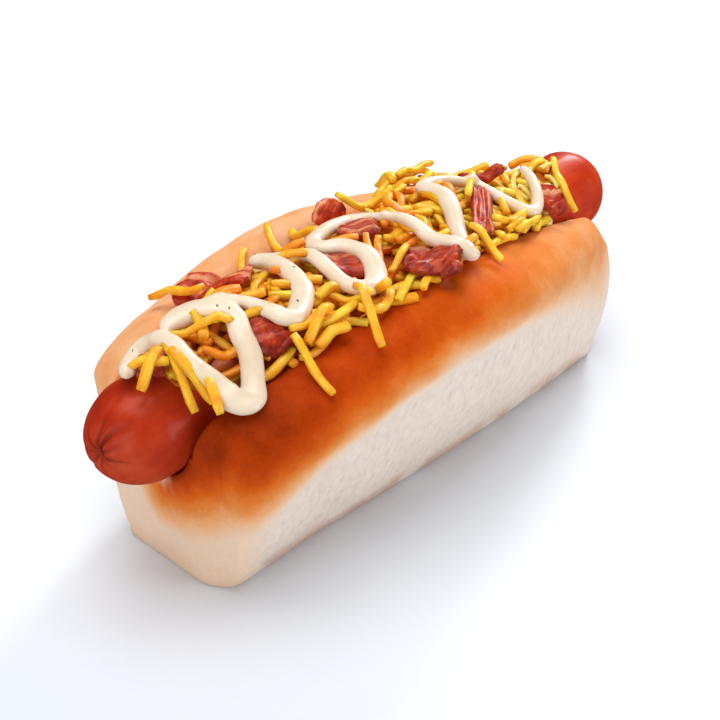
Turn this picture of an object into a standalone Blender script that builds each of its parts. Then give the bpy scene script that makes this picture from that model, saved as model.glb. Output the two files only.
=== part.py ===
"""Hot dog in a top-split bun: a sausage held between the two opened halves of a pull-apart bun, with a heap
of grated cheese, pieces of bacon and a zigzag of thick white sauce on top.

X runs along the sausage, from the puckered end at -X to the smooth end at +X. Z is up, and the bun rests on
its flat base at Z = 0. The origin is at the middle of the base.
"""

import math
import random

import bmesh
import bpy
from mathutils import Vector, noise

MM = 0.001

# Bun: base, and the cross-section where the opened halves stand highest and widest.
BUN_HALF_LENGTH = 78 * MM
BASE_HALF_WIDTH = (23.3 * MM, 3.3 * MM)  # at the near end, and what the widest place adds
BASE_WIDEST_X = 32 * MM
BASE_FAR_TAPER = 5 * MM  # how much narrower the far half's base is at the near end
BASE_EDGE_RADIUS = 4 * MM
FULLEST_X = -10 * MM
OUTER_HALF = (26 * MM, 15.5 * MM)
EQUATOR_HEIGHT = (37.5 * MM, 11 * MM)
DOME_TOP_HEIGHT = (47 * MM, 14 * MM)
LIP_THICKNESS = (19 * MM, 5.5 * MM)
LIP_CREST = 0.3  # how far out its top lies, as a share of the lip's thickness
SWELL_POWER = 1.75
FAR_SHOULDER = 1.3  # how much the far half's outer shoulder is flattened: 1 is an ellipse, 2 a straight slope
FAR_TOP_DROP = 1.3 * MM
FAR_SLIMNESS = 1.6 * MM  # how much narrower the far half is towards the near end
WALL_BULGE = 1.4 * MM
END_BULGE = (3 * MM, 6 * MM)  # of the near end and the far one
BULGE_TOP = (69 * MM, 42 * MM)
BULGE_FOOT = (14 * MM, 0)  # how far below the base the bulge would start
END_LEAN = (1 * MM, 7 * MM)
END_LEAN_START = 43 * MM
BASE_CORNER_LENGTH = 8 * MM
BASE_CORNER_INSET = 4 * MM
END_CORNER_LENGTH = 24 * MM
END_CORNER_SAG = (9 * MM, 3 * MM)  # how far the ends' outer corners stand back
END_CORNER_START = 10 * MM
END_CORNER_WIDTH = 19 * MM
END_TOP_RADIUS = 4 * MM
END_LIP_THICKNESS = 9.5 * MM
END_EDGE_RADIUS = 1.5 * MM
BUN_UNEVENNESS = 0.7 * MM

# Sausage: a capsule whose puckered end is fuller and more pointed than the smooth one.
SAUSAGE_HEIGHT = 43.2 * MM
NEAR_CAP_X = -83.3 * MM
FAR_CAP_X = 86.2 * MM
NEAR_RADIUS = 13.1 * MM
FAR_RADIUS = 12.3 * MM
NEAR_CAP_LENGTH = 14.5 * MM
FAR_CAP_LENGTH = 11.5 * MM
PUCKER_FOLDS = 9
PUCKER_DEPTH = 0.09

# Heap of grated cheese.
HEAP_CENTRE_X = -2 * MM
HEAP_HALF_LENGTH = 78 * MM
HEAP_HALF_WIDTH = 25 * MM
HEAP_END_HALF_WIDTH = 4 * MM
HEAP_FAR_SHARE = 0.64  # width of the heap's far side, compared with its near side
HEAP_WIDE_FROM = (8 * MM, 34 * MM)  # x over which the far side grows as wide as the near one
HEAP_CREST = (2.5 * MM, 4.5 * MM)  # over the sausage, at the far end and what the fullest place adds
HEAP_SHOULDER_DROP = 8 * MM
HEAP_SKIRT = 2.4 * MM  # least height of the heap's top over what it lies on
CREVICE_FLOOR = 8.5 * MM
SHRED_WIDTH = 2.7 * MM
SHRED_LIFT = 0.8 * MM
SHRED_COUNT = 76
SHRED_TRIES = 8
SHRED_SEED = 7

# Sauce ribbon.
SAUCE_WIDTH = 6 * MM
SAUCE_THICKNESS = 3.6 * MM

FIT_GAP = 0.5 * MM
TOPPING_GAP = 0.9 * MM
STIFF_REACH = 2.5 * MM

# Middle of the sauce ribbon, poured from -X to +X in a zigzag: x and y in mm over the heap.
SAUCE_PATH = (
    (-86, 2), (-82, 6), (-76, 8), (-73, 3), (-75, -6), (-73, -14), (-70, -21), (-65, -19), (-61, -12), (-59, -4),
    (-62, 2), (-66, 6), (-57, 2), (-52, -5), (-51, -12), (-47, -15), (-41, -12), (-37, -6), (-34, 1), (-34, 11),
    (-27, 8), (-25, 2), (-26, -6), (-27, -12), (-25, -18), (-20, -17), (-16, -13), (-14, -8), (-16, -1), (-19, 5),
    (-12, 8), (-3, 9), (1, 5), (3, -1), (5, -9), (4, -18), (6, -26), (11, -19), (16, -14), (21, -8), (25, -1),
    (27, 7), (35, 7), (41, 2), (41, -8), (44, -18), (51, -15), (56, -9), (62, -1),
)

# Bacon pieces: x, y, heading in degrees, length, width, and how far the end of each curls up, sizes in mm.
BACON_PIECES = {
    "bacon_near_end": (-80, -1, -48, 7, 6, 0.3),
    "bacon_rim_left": (-47, 14, -60, 20, 12, 1.5),
    "bacon_near_loop": (-53, -14, -25, 12, 9, 0.8),
    "bacon_mid": (-21, -6, -36, 13, 10, 0.5),
    "bacon_mid_back": (-5, 3, -45, 11, 8, 0.5),
    "bacon_dome_left": (0, 18, 20, 10, 7, 0.8),
    "bacon_near_rim": (-3, -21, -52, 15, 15, 1.5),
    "bacon_strip": (30, -11, 40, 26, 6, 0.8),
    "bacon_curl": (47, 3, -40, 12, 4, 3.0),
    "bacon_far_end": (58, -14, -30, 9, 9, 0.5),
}
BACON_THICKNESS = 2.2 * MM
BACON_WAVE = 0.5 * MM
BACON_LIFT = 0.9 * MM
BACON_MARGIN = 1.2 * MM

# Long shreds that stand out of the heap: x, y, heading in degrees, length in mm, and bend in degrees.
LONG_SHREDS = (
    (-82, -2, -47, 10, 0), (-83, -4, 20, 9, 10), (-78, -7, -106, 17, 15), (-77, -11, -80, 12, 15),
    (-75, -15, -111, 13, 0), (-66, -3, -33, 15, 0), (-54, -8, -32, 10, 0), (-54, 20, -81, 17, 10),
    (-33, 18, -128, 17, 40), (-19, 20, -110, 18, 50), (-14, 14, -94, 16, 70), (-52, -26, -93, 14, 0),
    (-46, -18, -5, 10, 0), (-44, -20, 13, 11, 0), (-37, -17, -19, 10, 0), (-32, -25, -115, 17, 8),
    (-30, -13, 0, 14, 0), (-8, -14, -158, 12, 0), (4, -5, -91, 12, 0), (12, 16, -31, 16, 0),
    (18, -22, -96, 12, 0), (30, 24, 60, 14, 0), (35, -17, 2, 15, 0), (38, 20, 7, 18, 0),
    (37, -1, -146, 15, 0), (57, 15, -48, 12, 0), (71, -8, -122, 20, 40),
)


def swell(x):
    """How far the bun is opened at x: 1 where it is fullest, falling towards both ends."""
    return 1 - abs((x - FULLEST_X) / BUN_HALF_LENGTH) ** SWELL_POWER


def along(pair, x):
    """A bun size at x, from its value at the ends and what the fullest place adds."""
    return pair[0] + pair[1] * swell(x)


def sausage_radius(x):
    """Radius of the sausage's body at x, tapering from the puckered end to the smooth one."""
    share = (x - NEAR_CAP_X) / (FAR_CAP_X - NEAR_CAP_X)
    return NEAR_RADIUS + (FAR_RADIUS - NEAR_RADIUS) * min(max(share, 0), 1)


def rounded_in(x, radius):
    """Inset of a surface near the bun's ends, as a quarter circle of this radius."""
    share = (abs(x) - (BUN_HALF_LENGTH - radius)) / radius
    share = min(max(share, 0), 1)
    return radius * (1 - math.sqrt(1 - share * share))


def corner_share(x, length):
    """How far into the rounded corner of an end x is: 0 before it, 1 at the end."""
    return min(max((abs(x) - (BUN_HALF_LENGTH - length)) / length, 0), 1)


def smooth_step(value):
    value = min(max(value, 0), 1)
    return value * value * (3 - 2 * value)


def end_share(x):
    """How much of an end's bulge and lean a place on the bun takes: 0 along the middle, 1 at the ends."""
    return smooth_step((abs(x) / BUN_HALF_LENGTH - 0.6) / 0.4)


def base_half_width(x):
    """Half width of the bun's base at x."""
    return BASE_HALF_WIDTH[0] + BASE_HALF_WIDTH[1] * max(1 - abs((x - BASE_WIDEST_X) / BUN_HALF_LENGTH) ** 1.6, 0)


def end_push(x, y, z):
    """How far an end of the bun stands out: it bulges low down, leans inwards above and has rounded corners."""
    end = 0 if x < 0 else 1
    foot, top = BULGE_FOOT[end], BULGE_TOP[end]
    bulge = END_BULGE[end] * math.sin(math.pi * min((z + foot) / (top + foot), 1))
    lean = END_LEAN[end] * smooth_step((z - END_LEAN_START) / DOME_TOP_HEIGHT[1])
    sag = END_CORNER_SAG[end] * max((abs(y) - END_CORNER_START) / END_CORNER_WIDTH, 0) ** 2.2
    return bulge - lean - sag


class BunSection:
    """Half of the bun's U-shaped cross-section at one x, as an outer and an inner curve of (y, z)."""

    def __init__(self, x, far):
        self.shoulder = FAR_SHOULDER if far else 1
        self.slot_radius = sausage_radius(x) + FIT_GAP
        outer = along(OUTER_HALF, x)
        self.inner = max(self.slot_radius + FIT_GAP, outer - along(LIP_THICKNESS, x))
        self.outer = outer - (outer - self.inner - END_LIP_THICKNESS) * corner_share(x, END_CORNER_LENGTH) ** 4
        self.crest = self.inner + (self.outer - self.inner) * LIP_CREST
        self.base = base_half_width(x) - BASE_CORNER_INSET * corner_share(x, BASE_CORNER_LENGTH) ** 2.5
        self.bottom = rounded_in(x, END_EDGE_RADIUS)
        self.equator = along(EQUATOR_HEIGHT, x)
        self.top = along(DOME_TOP_HEIGHT, x) - rounded_in(x, END_TOP_RADIUS)
        if far:
            self.base -= BASE_FAR_TAPER * smooth_step((-x / BUN_HALF_LENGTH - 0.6) / 0.4)
            self.top -= FAR_TOP_DROP
            self.outer -= FAR_SLIMNESS * smooth_step((20 * MM - x) / (60 * MM))

    def dome(self, angle):
        """Point on the lip's domed top, with the angle counted from its outer side."""
        cosine, sine = math.cos(angle), math.sin(angle)
        if cosine > 0:
            cosine, sine = cosine**self.shoulder, sine**self.shoulder
        half = self.outer - self.crest if cosine > 0 else self.crest - self.inner
        return self.crest + half * cosine, self.equator + (self.top - self.equator) * sine

    def outer_point(self, q):
        """Outer side, from the middle of the base at q = 0, up the wall to the dome at q = 1."""
        corner_start, wall_start, dome_start = 0.22, 0.32, 0.64
        radius = BASE_EDGE_RADIUS
        if q < corner_start:
            return (self.base - radius) * q / corner_start, self.bottom
        if q < wall_start:
            angle = math.radians(-90 + 75 * (q - corner_start) / (wall_start - corner_start))
            return self.base - radius + radius * math.cos(angle), self.bottom + radius + radius * math.sin(angle)
        foot_y, foot_z = self.base, self.bottom + radius * 0.75
        if q < dome_start:
            share = (q - wall_start) / (dome_start - wall_start)
            bulge = WALL_BULGE * math.sin(math.pi * share)
            return foot_y + (self.outer - foot_y) * share + bulge, foot_z + (self.equator - foot_z) * share
        return self.dome(math.radians(64 * (q - dome_start) / (1 - dome_start)))

    def inner_point(self, q):
        """Inner side, from under the sausage at q = 0, round it and up to the dome at q = 1."""
        wall_start, dome_start = 0.46, 0.62
        contact = math.asin(min(0, (self.equator - SAUSAGE_HEIGHT) / self.slot_radius))
        if q < wall_start:
            angle = -math.pi / 2 + (contact + math.pi / 2) * q / wall_start
            return self.slot_radius * math.cos(angle), SAUSAGE_HEIGHT + self.slot_radius * math.sin(angle)
        if q < dome_start:
            share = (q - wall_start) / (dome_start - wall_start)
            low_y = self.slot_radius * math.cos(contact)
            low_z = SAUSAGE_HEIGHT + self.slot_radius * math.sin(contact)
            return low_y + (self.inner - low_y) * share, low_z + (self.equator - low_z) * share
        return self.dome(math.radians(180 - 64 * (q - dome_start) / (1 - dome_start)))

    def point(self, q, depth):
        """Point between the outer side at depth 0 and the inner side at depth 1. The dome closes over at q = 1."""
        outer_y, outer_z = self.outer_point(q)
        inner_y, inner_z = self.inner_point(q)
        flat = (outer_y + (inner_y - outer_y) * depth, outer_z + (inner_z - outer_z) * depth)
        low, high = self.dome(math.radians(64)), self.dome(math.radians(116))
        over = self.dome(math.radians(64 + 52 * depth))
        share = smooth_step((q - 0.8) / 0.2)
        return tuple(f + (o - a - (b - a) * depth) * share for f, o, a, b in zip(flat, over, low, high))


def bun_point(co):
    """Where a point of the cube from -1 to 1 lands on the bun. The cube's x runs along the bun, its y round
    the U from the near lip to the far one, and its z through the bread."""
    x = BUN_HALF_LENGTH * co.x * (1.3 - 0.3 * co.x**2)
    x = min(max(x, -BUN_HALF_LENGTH), BUN_HALF_LENGTH)
    y, z = BunSection(x, co.y > 0).point(abs(co.y), (co.z + 1) / 2)
    y = math.copysign(y, co.y) if co.y else 0
    x += math.copysign(end_push(x, y, z) * end_share(x), x)
    point = Vector((x, y, z))
    if z > BASE_EDGE_RADIUS and co.z < 0:
        point += noise.noise_vector(point / (14 * MM)) * BUN_UNEVENNESS
    return point


def gridded_cube(cuts):
    """A bmesh cube from -1 to 1, its edges along x, y and z divided into this many."""
    bm = bmesh.new()
    bmesh.ops.create_cube(bm, size=2)
    for axis, count in enumerate(cuts):
        if count < 2:
            continue
        edges = [e for e in bm.edges if abs((e.verts[0].co - e.verts[1].co).normalized()[axis]) > 0.9]
        bmesh.ops.subdivide_edges(bm, edges=edges, cuts=count - 1, use_grid_fill=True)
    return bm


def add_object(name, bm, material, collection):
    """Closes a bmesh into a named object with its material."""
    bmesh.ops.recalc_face_normals(bm, faces=bm.faces)
    if bm.calc_volume(signed=True) < 0:
        bmesh.ops.reverse_faces(bm, faces=bm.faces)
    mesh = bpy.data.meshes.new(name)
    bm.to_mesh(mesh)
    bm.free()
    mesh.materials.append(material)
    mesh.shade_smooth()
    obj = bpy.data.objects.new(name, mesh)
    collection.objects.link(obj)
    return obj


def make_bun(material, collection):
    """The opened bun, one piece of bread folded up both sides of the sausage."""
    bm = gridded_cube((20, 26, 2))
    for vert in bm.verts:
        vert.co = bun_point(vert.co)
    return add_object("bun", bm, material, collection)


def sausage_point(co):
    """Where a point of the unit sphere lands on the sausage: its z runs along the sausage."""
    polar = math.acos(min(max(-co.z, -1), 1)) / math.pi
    turn = math.atan2(co.y, co.x)
    cap = 0.28
    if polar < cap:
        angle = math.pi / 2 * polar / cap
        x = NEAR_CAP_X - NEAR_CAP_LENGTH * math.cos(angle) ** 1.15
        radius = NEAR_RADIUS * math.sin(angle) ** 0.95
        fold = 0.5 + 0.5 * math.cos(PUCKER_FOLDS * turn + 1.3 * math.sin(2 * turn))
        radius *= 1 - 2.2 * PUCKER_DEPTH * fold**4 * (1 - smooth_step(polar / cap / 0.85))
        x += 1.6 * MM * (1 - smooth_step(polar / cap / 0.3))
    elif polar > 1 - cap:
        angle = math.pi / 2 * (1 - polar) / cap
        x = FAR_CAP_X + FAR_CAP_LENGTH * math.cos(angle)
        radius = FAR_RADIUS * math.sin(angle)
    else:
        x = NEAR_CAP_X + (FAR_CAP_X - NEAR_CAP_X) * (polar - cap) / (1 - 2 * cap)
        radius = sausage_radius(x)
    return Vector((x, radius * math.cos(turn), SAUSAGE_HEIGHT + radius * math.sin(turn)))


def make_sausage(material, collection):
    bm = bmesh.new()
    bmesh.ops.create_uvsphere(bm, u_segments=27, v_segments=24, radius=1)
    for vert in bm.verts:
        vert.co = sausage_point(vert.co.normalized())
    return add_object("sausage", bm, material, collection)


def sausage_top(x, y):
    """Height of the sausage's upper side over (x, y), and the base plane where there is none."""
    radius = sausage_radius(x)
    past = max(NEAR_CAP_X - x, x - FAR_CAP_X, 0)
    radius = math.sqrt(max(radius**2 - past**2, 0))
    return SAUSAGE_HEIGHT + math.sqrt(radius**2 - y**2) if abs(y) < radius else 0


def lip_top(x, y):
    """Height of the bun's lips over (x, y), and the base plane where there is none."""
    reach = END_BULGE[0] if x < 0 else 0
    if abs(x) > BUN_HALF_LENGTH + reach:
        return 0
    section = BunSection(x - math.copysign(reach * end_share(x), x), y > 0)
    half = section.outer - section.crest if abs(y) > section.crest else section.crest - section.inner
    share = (abs(y) - section.crest) / half
    if abs(share) >= 1:
        return 0
    power = section.shoulder if share > 0 else 1
    height = section.top + BUN_UNEVENNESS - section.equator
    return section.equator + height * (1 - abs(share) ** (2 / power)) ** (power / 2)


def ground(x, y):
    """Height of what the toppings lie on: the sausage, the lips, and the shut crevice between them."""
    crevice = SAUSAGE_HEIGHT + CREVICE_FLOOR - max(abs(y) - NEAR_RADIUS, 0)
    return max(sausage_top(x, y), lip_top(x, y), crevice if abs(x) < BUN_HALF_LENGTH else 0)


def heap_half_width(x, y):
    """Half width of the heap at x, on the side that y is on."""
    share = min(abs((x - HEAP_CENTRE_X) / HEAP_HALF_LENGTH), 1)
    width = HEAP_END_HALF_WIDTH + (HEAP_HALF_WIDTH - HEAP_END_HALF_WIDTH) * (1 - share**2.4) ** 0.7
    if y <= 0:
        return width
    start, end = HEAP_WIDE_FROM
    return width * (HEAP_FAR_SHARE + (1 - HEAP_FAR_SHARE) * smooth_step((x - start) / (end - start)))


def heap_top(x, y):
    """Height of the heap's bare core over (x, y)."""
    across = min(abs(y) / heap_half_width(x, y), 1)
    share = (x - HEAP_CENTRE_X) / HEAP_HALF_LENGTH
    full = smooth_step((share + 1) / 0.3) * smooth_step((0.85 - share) / 0.8)
    crest = SAUSAGE_HEIGHT + sausage_radius(x) + HEAP_CREST[0] + HEAP_CREST[1] * full
    return max(crest - HEAP_SHOULDER_DROP * across**2.2, ground(x, y) + HEAP_SKIRT)


def surface(x, y):
    """Height that a topping lies at: the heap's core inside its outline, and the bun or sausage outside it."""
    inside = abs(x - HEAP_CENTRE_X) < HEAP_HALF_LENGTH and abs(y) < heap_half_width(x, y)
    return heap_top(x, y) if inside else ground(x, y) + TOPPING_GAP


def highest(height, x, y, reach):
    """The highest that a height function gets round (x, y), which is what a stiff piece rests on."""
    return max(height(x + dx, y + dy) for dx, dy in ((0, 0), (reach, 0), (-reach, 0), (0, reach), (0, -reach)))


def make_heap_core():
    """The heap under its loose shreds: its underside follows the sausage and the lips with a small gap."""
    bm = gridded_cube((30, 14, 1))
    for vert in bm.verts:
        x = HEAP_CENTRE_X + HEAP_HALF_LENGTH * vert.co.x
        y = heap_half_width(x, vert.co.y) * vert.co.y
        z = heap_top(x, y) if vert.co.z > 0 else ground(x, y) + TOPPING_GAP
        vert.co = (x, y, z)
    return bm


def shred_path(x, y, heading, length, bend, lift, steps=4):
    """Centreline of a shred lying on the heap, over whatever lies below it."""
    line = [Vector((x, y, 0)) - Vector((math.cos(heading), math.sin(heading), 0)) * length / 2]
    for i in range(1, steps + 1):
        angle = heading + bend * (i / steps - 0.5)
        line.append(line[-1] + Vector((math.cos(angle), math.sin(angle), 0)) * length / steps)
    for point in line:
        point.z = surface(point.x, point.y) + lift
    clear = [highest(ground, p.x, p.y, SHRED_WIDTH / 2) + TOPPING_GAP + SHRED_WIDTH / 2 for p in line]
    middle = line[len(line) // 2].z
    for i, point in enumerate(line):
        stiff = middle + (point.z - middle) * 0.7
        point.z = max(stiff, clear[i])
    return line


def make_shred(line, width):
    """A square-cut shred of cheese along a centreline."""
    steps = len(line) - 1
    bm = gridded_cube((steps, 1, 1))
    for vert in bm.verts:
        i = round((vert.co.x + 1) / 2 * steps)
        ahead = line[min(i + 1, steps)] - line[max(i - 1, 0)]
        side = Vector((-ahead.y, ahead.x, 0)).normalized()
        up = ahead.cross(side).normalized()
        up = -up if up.z < 0 else up
        vert.co = line[i] + side * vert.co.y * width / 2 + up * vert.co.z * width * 0.42
    return bm


def bacon_outline(name):
    """Centre, heading and half sizes of a bacon piece, in metres and radians."""
    x, y, heading, length, width, curl = BACON_PIECES[name]
    return x * MM, y * MM, math.radians(heading), length / 2 * MM, width / 2 * MM, curl * MM


def over_bacon(point, margin):
    """Height of the top of the bacon at a point, or 0 where there is none within the margin."""
    for name in BACON_PIECES:
        x, y, heading, half_length, half_width, curl = bacon_outline(name)
        dx, dy = point.x - x, point.y - y
        u = dx * math.cos(heading) + dy * math.sin(heading)
        v = dy * math.cos(heading) - dx * math.sin(heading)
        if abs(u) < half_length + margin and abs(v) < half_width + margin:
            rests_at = highest(surface, point.x, point.y, STIFF_REACH) + BACON_LIFT
            return rests_at + BACON_THICKNESS + 2 * BACON_WAVE + curl
    return 0


def make_bacon(name, material, collection):
    """A fried piece of bacon: a wavy slab that follows the heap, with its far end curled up."""
    x, y, heading, half_length, half_width, curl = bacon_outline(name)
    phase = 0.1 * x / MM
    bm = gridded_cube((6, 3, 1))
    for vert in bm.verts:
        u, v = vert.co.x * half_length, vert.co.y * half_width
        u *= 1 - 0.12 * vert.co.y**2 * math.sin(phase)
        px = x + u * math.cos(heading) - v * math.sin(heading)
        py = y + u * math.sin(heading) + v * math.cos(heading)
        wave = BACON_WAVE * (1 + math.sin(phase + 3.2 * vert.co.x + 1.4 * vert.co.y))
        lift = BACON_LIFT + wave + curl * smooth_step((vert.co.x - 0.1) / 0.9)
        z = highest(surface, px, py, STIFF_REACH) + lift + (BACON_THICKNESS if vert.co.z > 0 else 0)
        vert.co = (px, py, z)
    return add_object(name, bm, material, collection)


def sauce_strokes():
    """The sauce ribbon cut at its turns, where its way across the hot dog reverses."""
    points = [Vector((x, y, 0)) * MM for x, y in SAUCE_PATH]
    rises = [(b.y - a.y) > 0 for a, b in zip(points, points[1:])]
    turns = [i for i in range(1, len(rises)) if rises[i] != rises[i - 1]]
    for start, end in zip([0, *turns], [*turns, len(points) - 1]):
        yield points[start : end + 1]


def sauce_height(point, half):
    """Height of the ribbon's middle where it clears the bun, the sausage and the bacon all round the point."""
    lying = surface(point.x, point.y) + SAUCE_THICKNESS * 0.3
    clear = highest(ground, point.x, point.y, half) + TOPPING_GAP + SAUCE_THICKNESS / 2
    bacon = over_bacon(point, half + BACON_MARGIN)
    return max(lying, clear, bacon + FIT_GAP + SAUCE_THICKNESS / 2)


def sauce_line(knots):
    """Smooth centreline of a sauce stroke: each point with its share of the ribbon's full width."""
    padded = [2 * knots[0] - knots[1], *knots, 2 * knots[-1] - knots[-2]]
    line = []
    for a, b, c, d in zip(padded, padded[1:], padded[2:], padded[3:]):
        for t in (0, 0.5):
            weights = (-t + 2 * t**2 - t**3, 2 - 5 * t**2 + 3 * t**3, t + 4 * t**2 - 3 * t**3, t**3 - t**2)
            line.append(sum((w * k for w, k in zip(weights, (a, b, c, d))), Vector()) / 2)
    line.append(knots[-1].copy())
    shares = [1.1 - 0.3 * math.sin(math.pi * i / (len(line) - 1)) for i in range(len(line))]
    heights = [sauce_height(point, SAUCE_WIDTH * share / 2) for point, share in zip(line, shares)]
    for i, point in enumerate(line):
        point.z = max(heights[max(i - 1, 0) : i + 2])
    return line, shares


def make_sauce_stroke(knots):
    """One stroke of sauce: a flattened tube with round ends."""
    line, shares = sauce_line(knots)
    steps = len(line) - 1
    bm = gridded_cube((steps, 2, 2))
    for vert in bm.verts:
        i = round((vert.co.x + 1) / 2 * steps)
        point, share = line[i], shares[i]
        ahead = line[min(i + 1, steps)] - line[max(i - 1, 0)]
        side = Vector((-ahead.y, ahead.x, 0)).normalized()
        ring = Vector((vert.co.y, vert.co.z))
        ring = ring.normalized() if ring.length > 0.5 else ring
        end = 1 if 0 < i < steps else 0.75
        past = ahead.normalized() * (0 if end == 1 else math.copysign(SAUCE_WIDTH * 0.2, i - 0.5))
        vert.co = (
            point
            + past
            + side * ring.x * SAUCE_WIDTH / 2 * share * end
            + Vector((0, 0, ring.y * SAUCE_THICKNESS / 2 * end))
        )
    return bm


def clear_of_bacon(line, width):
    """Whether a shred passes clear of every bacon piece."""
    samples = [a.lerp(b, t) for a, b in zip(line, line[1:]) for t in (0, 0.5)] + [line[-1]]
    return not any(over_bacon(p, width / 2 + BACON_MARGIN) for p in samples)


def scattered_shreds(rng):
    """Centrelines of the shreds that fill the rest of the heap, each moved until it is clear of the bacon."""
    for i in range(SHRED_COUNT):
        for _ in range(SHRED_TRIES):
            x = HEAP_CENTRE_X + HEAP_HALF_LENGTH * (2 * (i + rng.random()) / SHRED_COUNT - 1) * 0.97
            across = rng.uniform(-0.95, 0.95)
            y = heap_half_width(x, across) * across
            bend = math.radians(rng.uniform(-35, 35))
            lift = rng.uniform(-0.2, 1.0) * MM
            line = shred_path(x, y, rng.uniform(0, math.pi), rng.uniform(10, 18) * MM, bend, lift)
            if clear_of_bacon(line, SHRED_WIDTH):
                yield line
                break


def long_shreds():
    """Centrelines of the long shreds that stand out, but for any that would cross the bacon."""
    for x, y, heading, length, bend in LONG_SHREDS:
        line = shred_path(x * MM, y * MM, math.radians(heading), length * MM, math.radians(bend), SHRED_LIFT)
        if clear_of_bacon(line, SHRED_WIDTH):
            yield line


def make_toppings(material, collection):
    """The heap of cheese with the sauce on it: core, shreds and strokes joined into one solid."""
    loose = bpy.data.collections.new("loose")
    bpy.context.scene.collection.children.link(loose)
    rng = random.Random(SHRED_SEED)
    for index, line in enumerate([*long_shreds(), *scattered_shreds(rng)]):
        add_object(f"shred_{index}", make_shred(line, SHRED_WIDTH), material, loose)
    for index, knots in enumerate(sauce_strokes()):
        add_object(f"stroke_{index}", make_sauce_stroke(knots), material, loose)
    heap = add_object("cheese_and_sauce", make_heap_core(), material, collection)
    join = heap.modifiers.new("join", "BOOLEAN")
    join.operand_type = "COLLECTION"
    join.collection = loose
    join.operation = "UNION"
    join.solver = "EXACT"
    graph = bpy.context.evaluated_depsgraph_get()
    joined = bpy.data.meshes.new_from_object(heap.evaluated_get(graph))
    heap.modifiers.clear()
    heap.data = joined
    for obj in list(loose.objects):
        bpy.data.objects.remove(obj)
    bpy.data.collections.remove(loose)
    drop_scraps(heap)
    return heap


def drop_scraps(obj):
    """Keeps only the largest body of a mesh, so that no loose shred or sealed hollow is left."""
    bm = bmesh.new()
    bm.from_mesh(obj.data)
    left = set(bm.verts)
    bodies = []
    while left:
        body, frontier = set(), [left.pop()]
        while frontier:
            vert = frontier.pop()
            body.add(vert)
            for edge in vert.link_edges:
                other = edge.other_vert(vert)
                if other in left:
                    left.discard(other)
                    frontier.append(other)
        bodies.append(body)
    bodies.sort(key=len)
    scraps = [vert for body in bodies[:-1] for vert in body]
    bmesh.ops.delete(bm, geom=scraps, context="VERTS")
    bm.to_mesh(obj.data)
    bm.free()


def make_material(name, colour, roughness):
    material = bpy.data.materials.new(name)
    material.use_nodes = True
    shader = material.node_tree.nodes["Principled BSDF"]
    shader.inputs["Base Color"].default_value = (*colour, 1)
    shader.inputs["Roughness"].default_value = roughness
    shader.inputs["Metallic"].default_value = 0
    return material


def main():
    for obj in list(bpy.data.objects):
        bpy.data.objects.remove(obj)
    hot_dog = bpy.data.collections.new("hot_dog")
    bpy.context.scene.collection.children.link(hot_dog)
    make_bun(make_material("bread", (0.70, 0.26, 0.06), 0.6), hot_dog)
    make_sausage(make_material("sausage_skin", (0.45, 0.06, 0.03), 0.35), hot_dog)
    make_toppings(make_material("cheese", (0.90, 0.45, 0.04), 0.5), hot_dog)
    bacon = make_material("bacon", (0.35, 0.03, 0.02), 0.4)
    for name in BACON_PIECES:
        make_bacon(name, bacon, hot_dog)


if __name__ == "__main__":
    main()
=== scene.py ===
"""Hot dog in an opened pull-apart bun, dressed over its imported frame.

X runs along the sausage from its puckered end to its smooth end, Y runs across the bun and Z is up. The bun rests
on its flat base at Z = 0. Sizes are in metres.
"""

from __future__ import annotations

import logging
import math
import random
from dataclasses import dataclass, field
from enum import Enum
from typing import Any, Callable, Iterator

import bmesh
import bpy
import numpy as np
from mathutils import Matrix, Vector, noise
from mathutils.bvhtree import BVHTree

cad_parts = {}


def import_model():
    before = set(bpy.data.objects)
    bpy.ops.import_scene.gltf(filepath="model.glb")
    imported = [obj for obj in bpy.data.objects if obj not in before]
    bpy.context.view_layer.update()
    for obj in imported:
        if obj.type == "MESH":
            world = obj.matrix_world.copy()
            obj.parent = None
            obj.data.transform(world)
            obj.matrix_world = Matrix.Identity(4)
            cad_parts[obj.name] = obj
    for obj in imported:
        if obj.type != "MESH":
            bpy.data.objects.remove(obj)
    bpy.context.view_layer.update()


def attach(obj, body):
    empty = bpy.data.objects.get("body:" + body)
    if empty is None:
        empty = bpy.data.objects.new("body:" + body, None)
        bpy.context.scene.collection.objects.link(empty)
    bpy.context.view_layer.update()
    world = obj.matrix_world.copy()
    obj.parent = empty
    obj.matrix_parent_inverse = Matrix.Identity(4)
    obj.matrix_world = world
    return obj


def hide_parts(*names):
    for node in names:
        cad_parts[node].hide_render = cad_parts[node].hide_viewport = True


log = logging.getLogger("hot_dog")

MM = 0.001
HIGH_UP = 200 * MM  # above everything, where the rays that look down start
DOWN = Vector((0.0, 0.0, -1.0))


def smooth_step(value: float) -> float:
    """A value from 0 to 1, eased at both ends and held outside them."""
    value = min(max(value, 0.0), 1.0)
    return value * value * (3 - 2 * value)


def ease(value: float, start: float, end: float) -> float:
    """How far a value is from start to end: 0 before the start, 1 past the end, eased between them."""
    return smooth_step((value - start) / (end - start))


def lumps(point: Vector, size: float, height: float) -> float:
    """Smooth unevenness at a place: its lumps are about size mm apart, and reach from -height to height."""
    return noise.noise(point / (size * MM)) * height


def srgb(hex_colour: str) -> tuple[float, float, float, float]:
    """Turns an sRGB colour to linear light.

    Args:
        hex_colour: six hex digits after a hash sign.

    Returns:
        The linear red, green and blue with an alpha of 1.
    """
    parts = [int(hex_colour[i : i + 2], 16) / 255 for i in (1, 3, 5)]
    linear = [c / 12.92 if c <= 0.04045 else ((c + 0.055) / 1.055) ** 2.4 for c in parts]
    return (*linear, 1.0)


def per_mm(size: float) -> float:
    """The scale of a noise texture whose lumps are this many millimetres apart."""
    return 1 / (size * MM)


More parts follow.
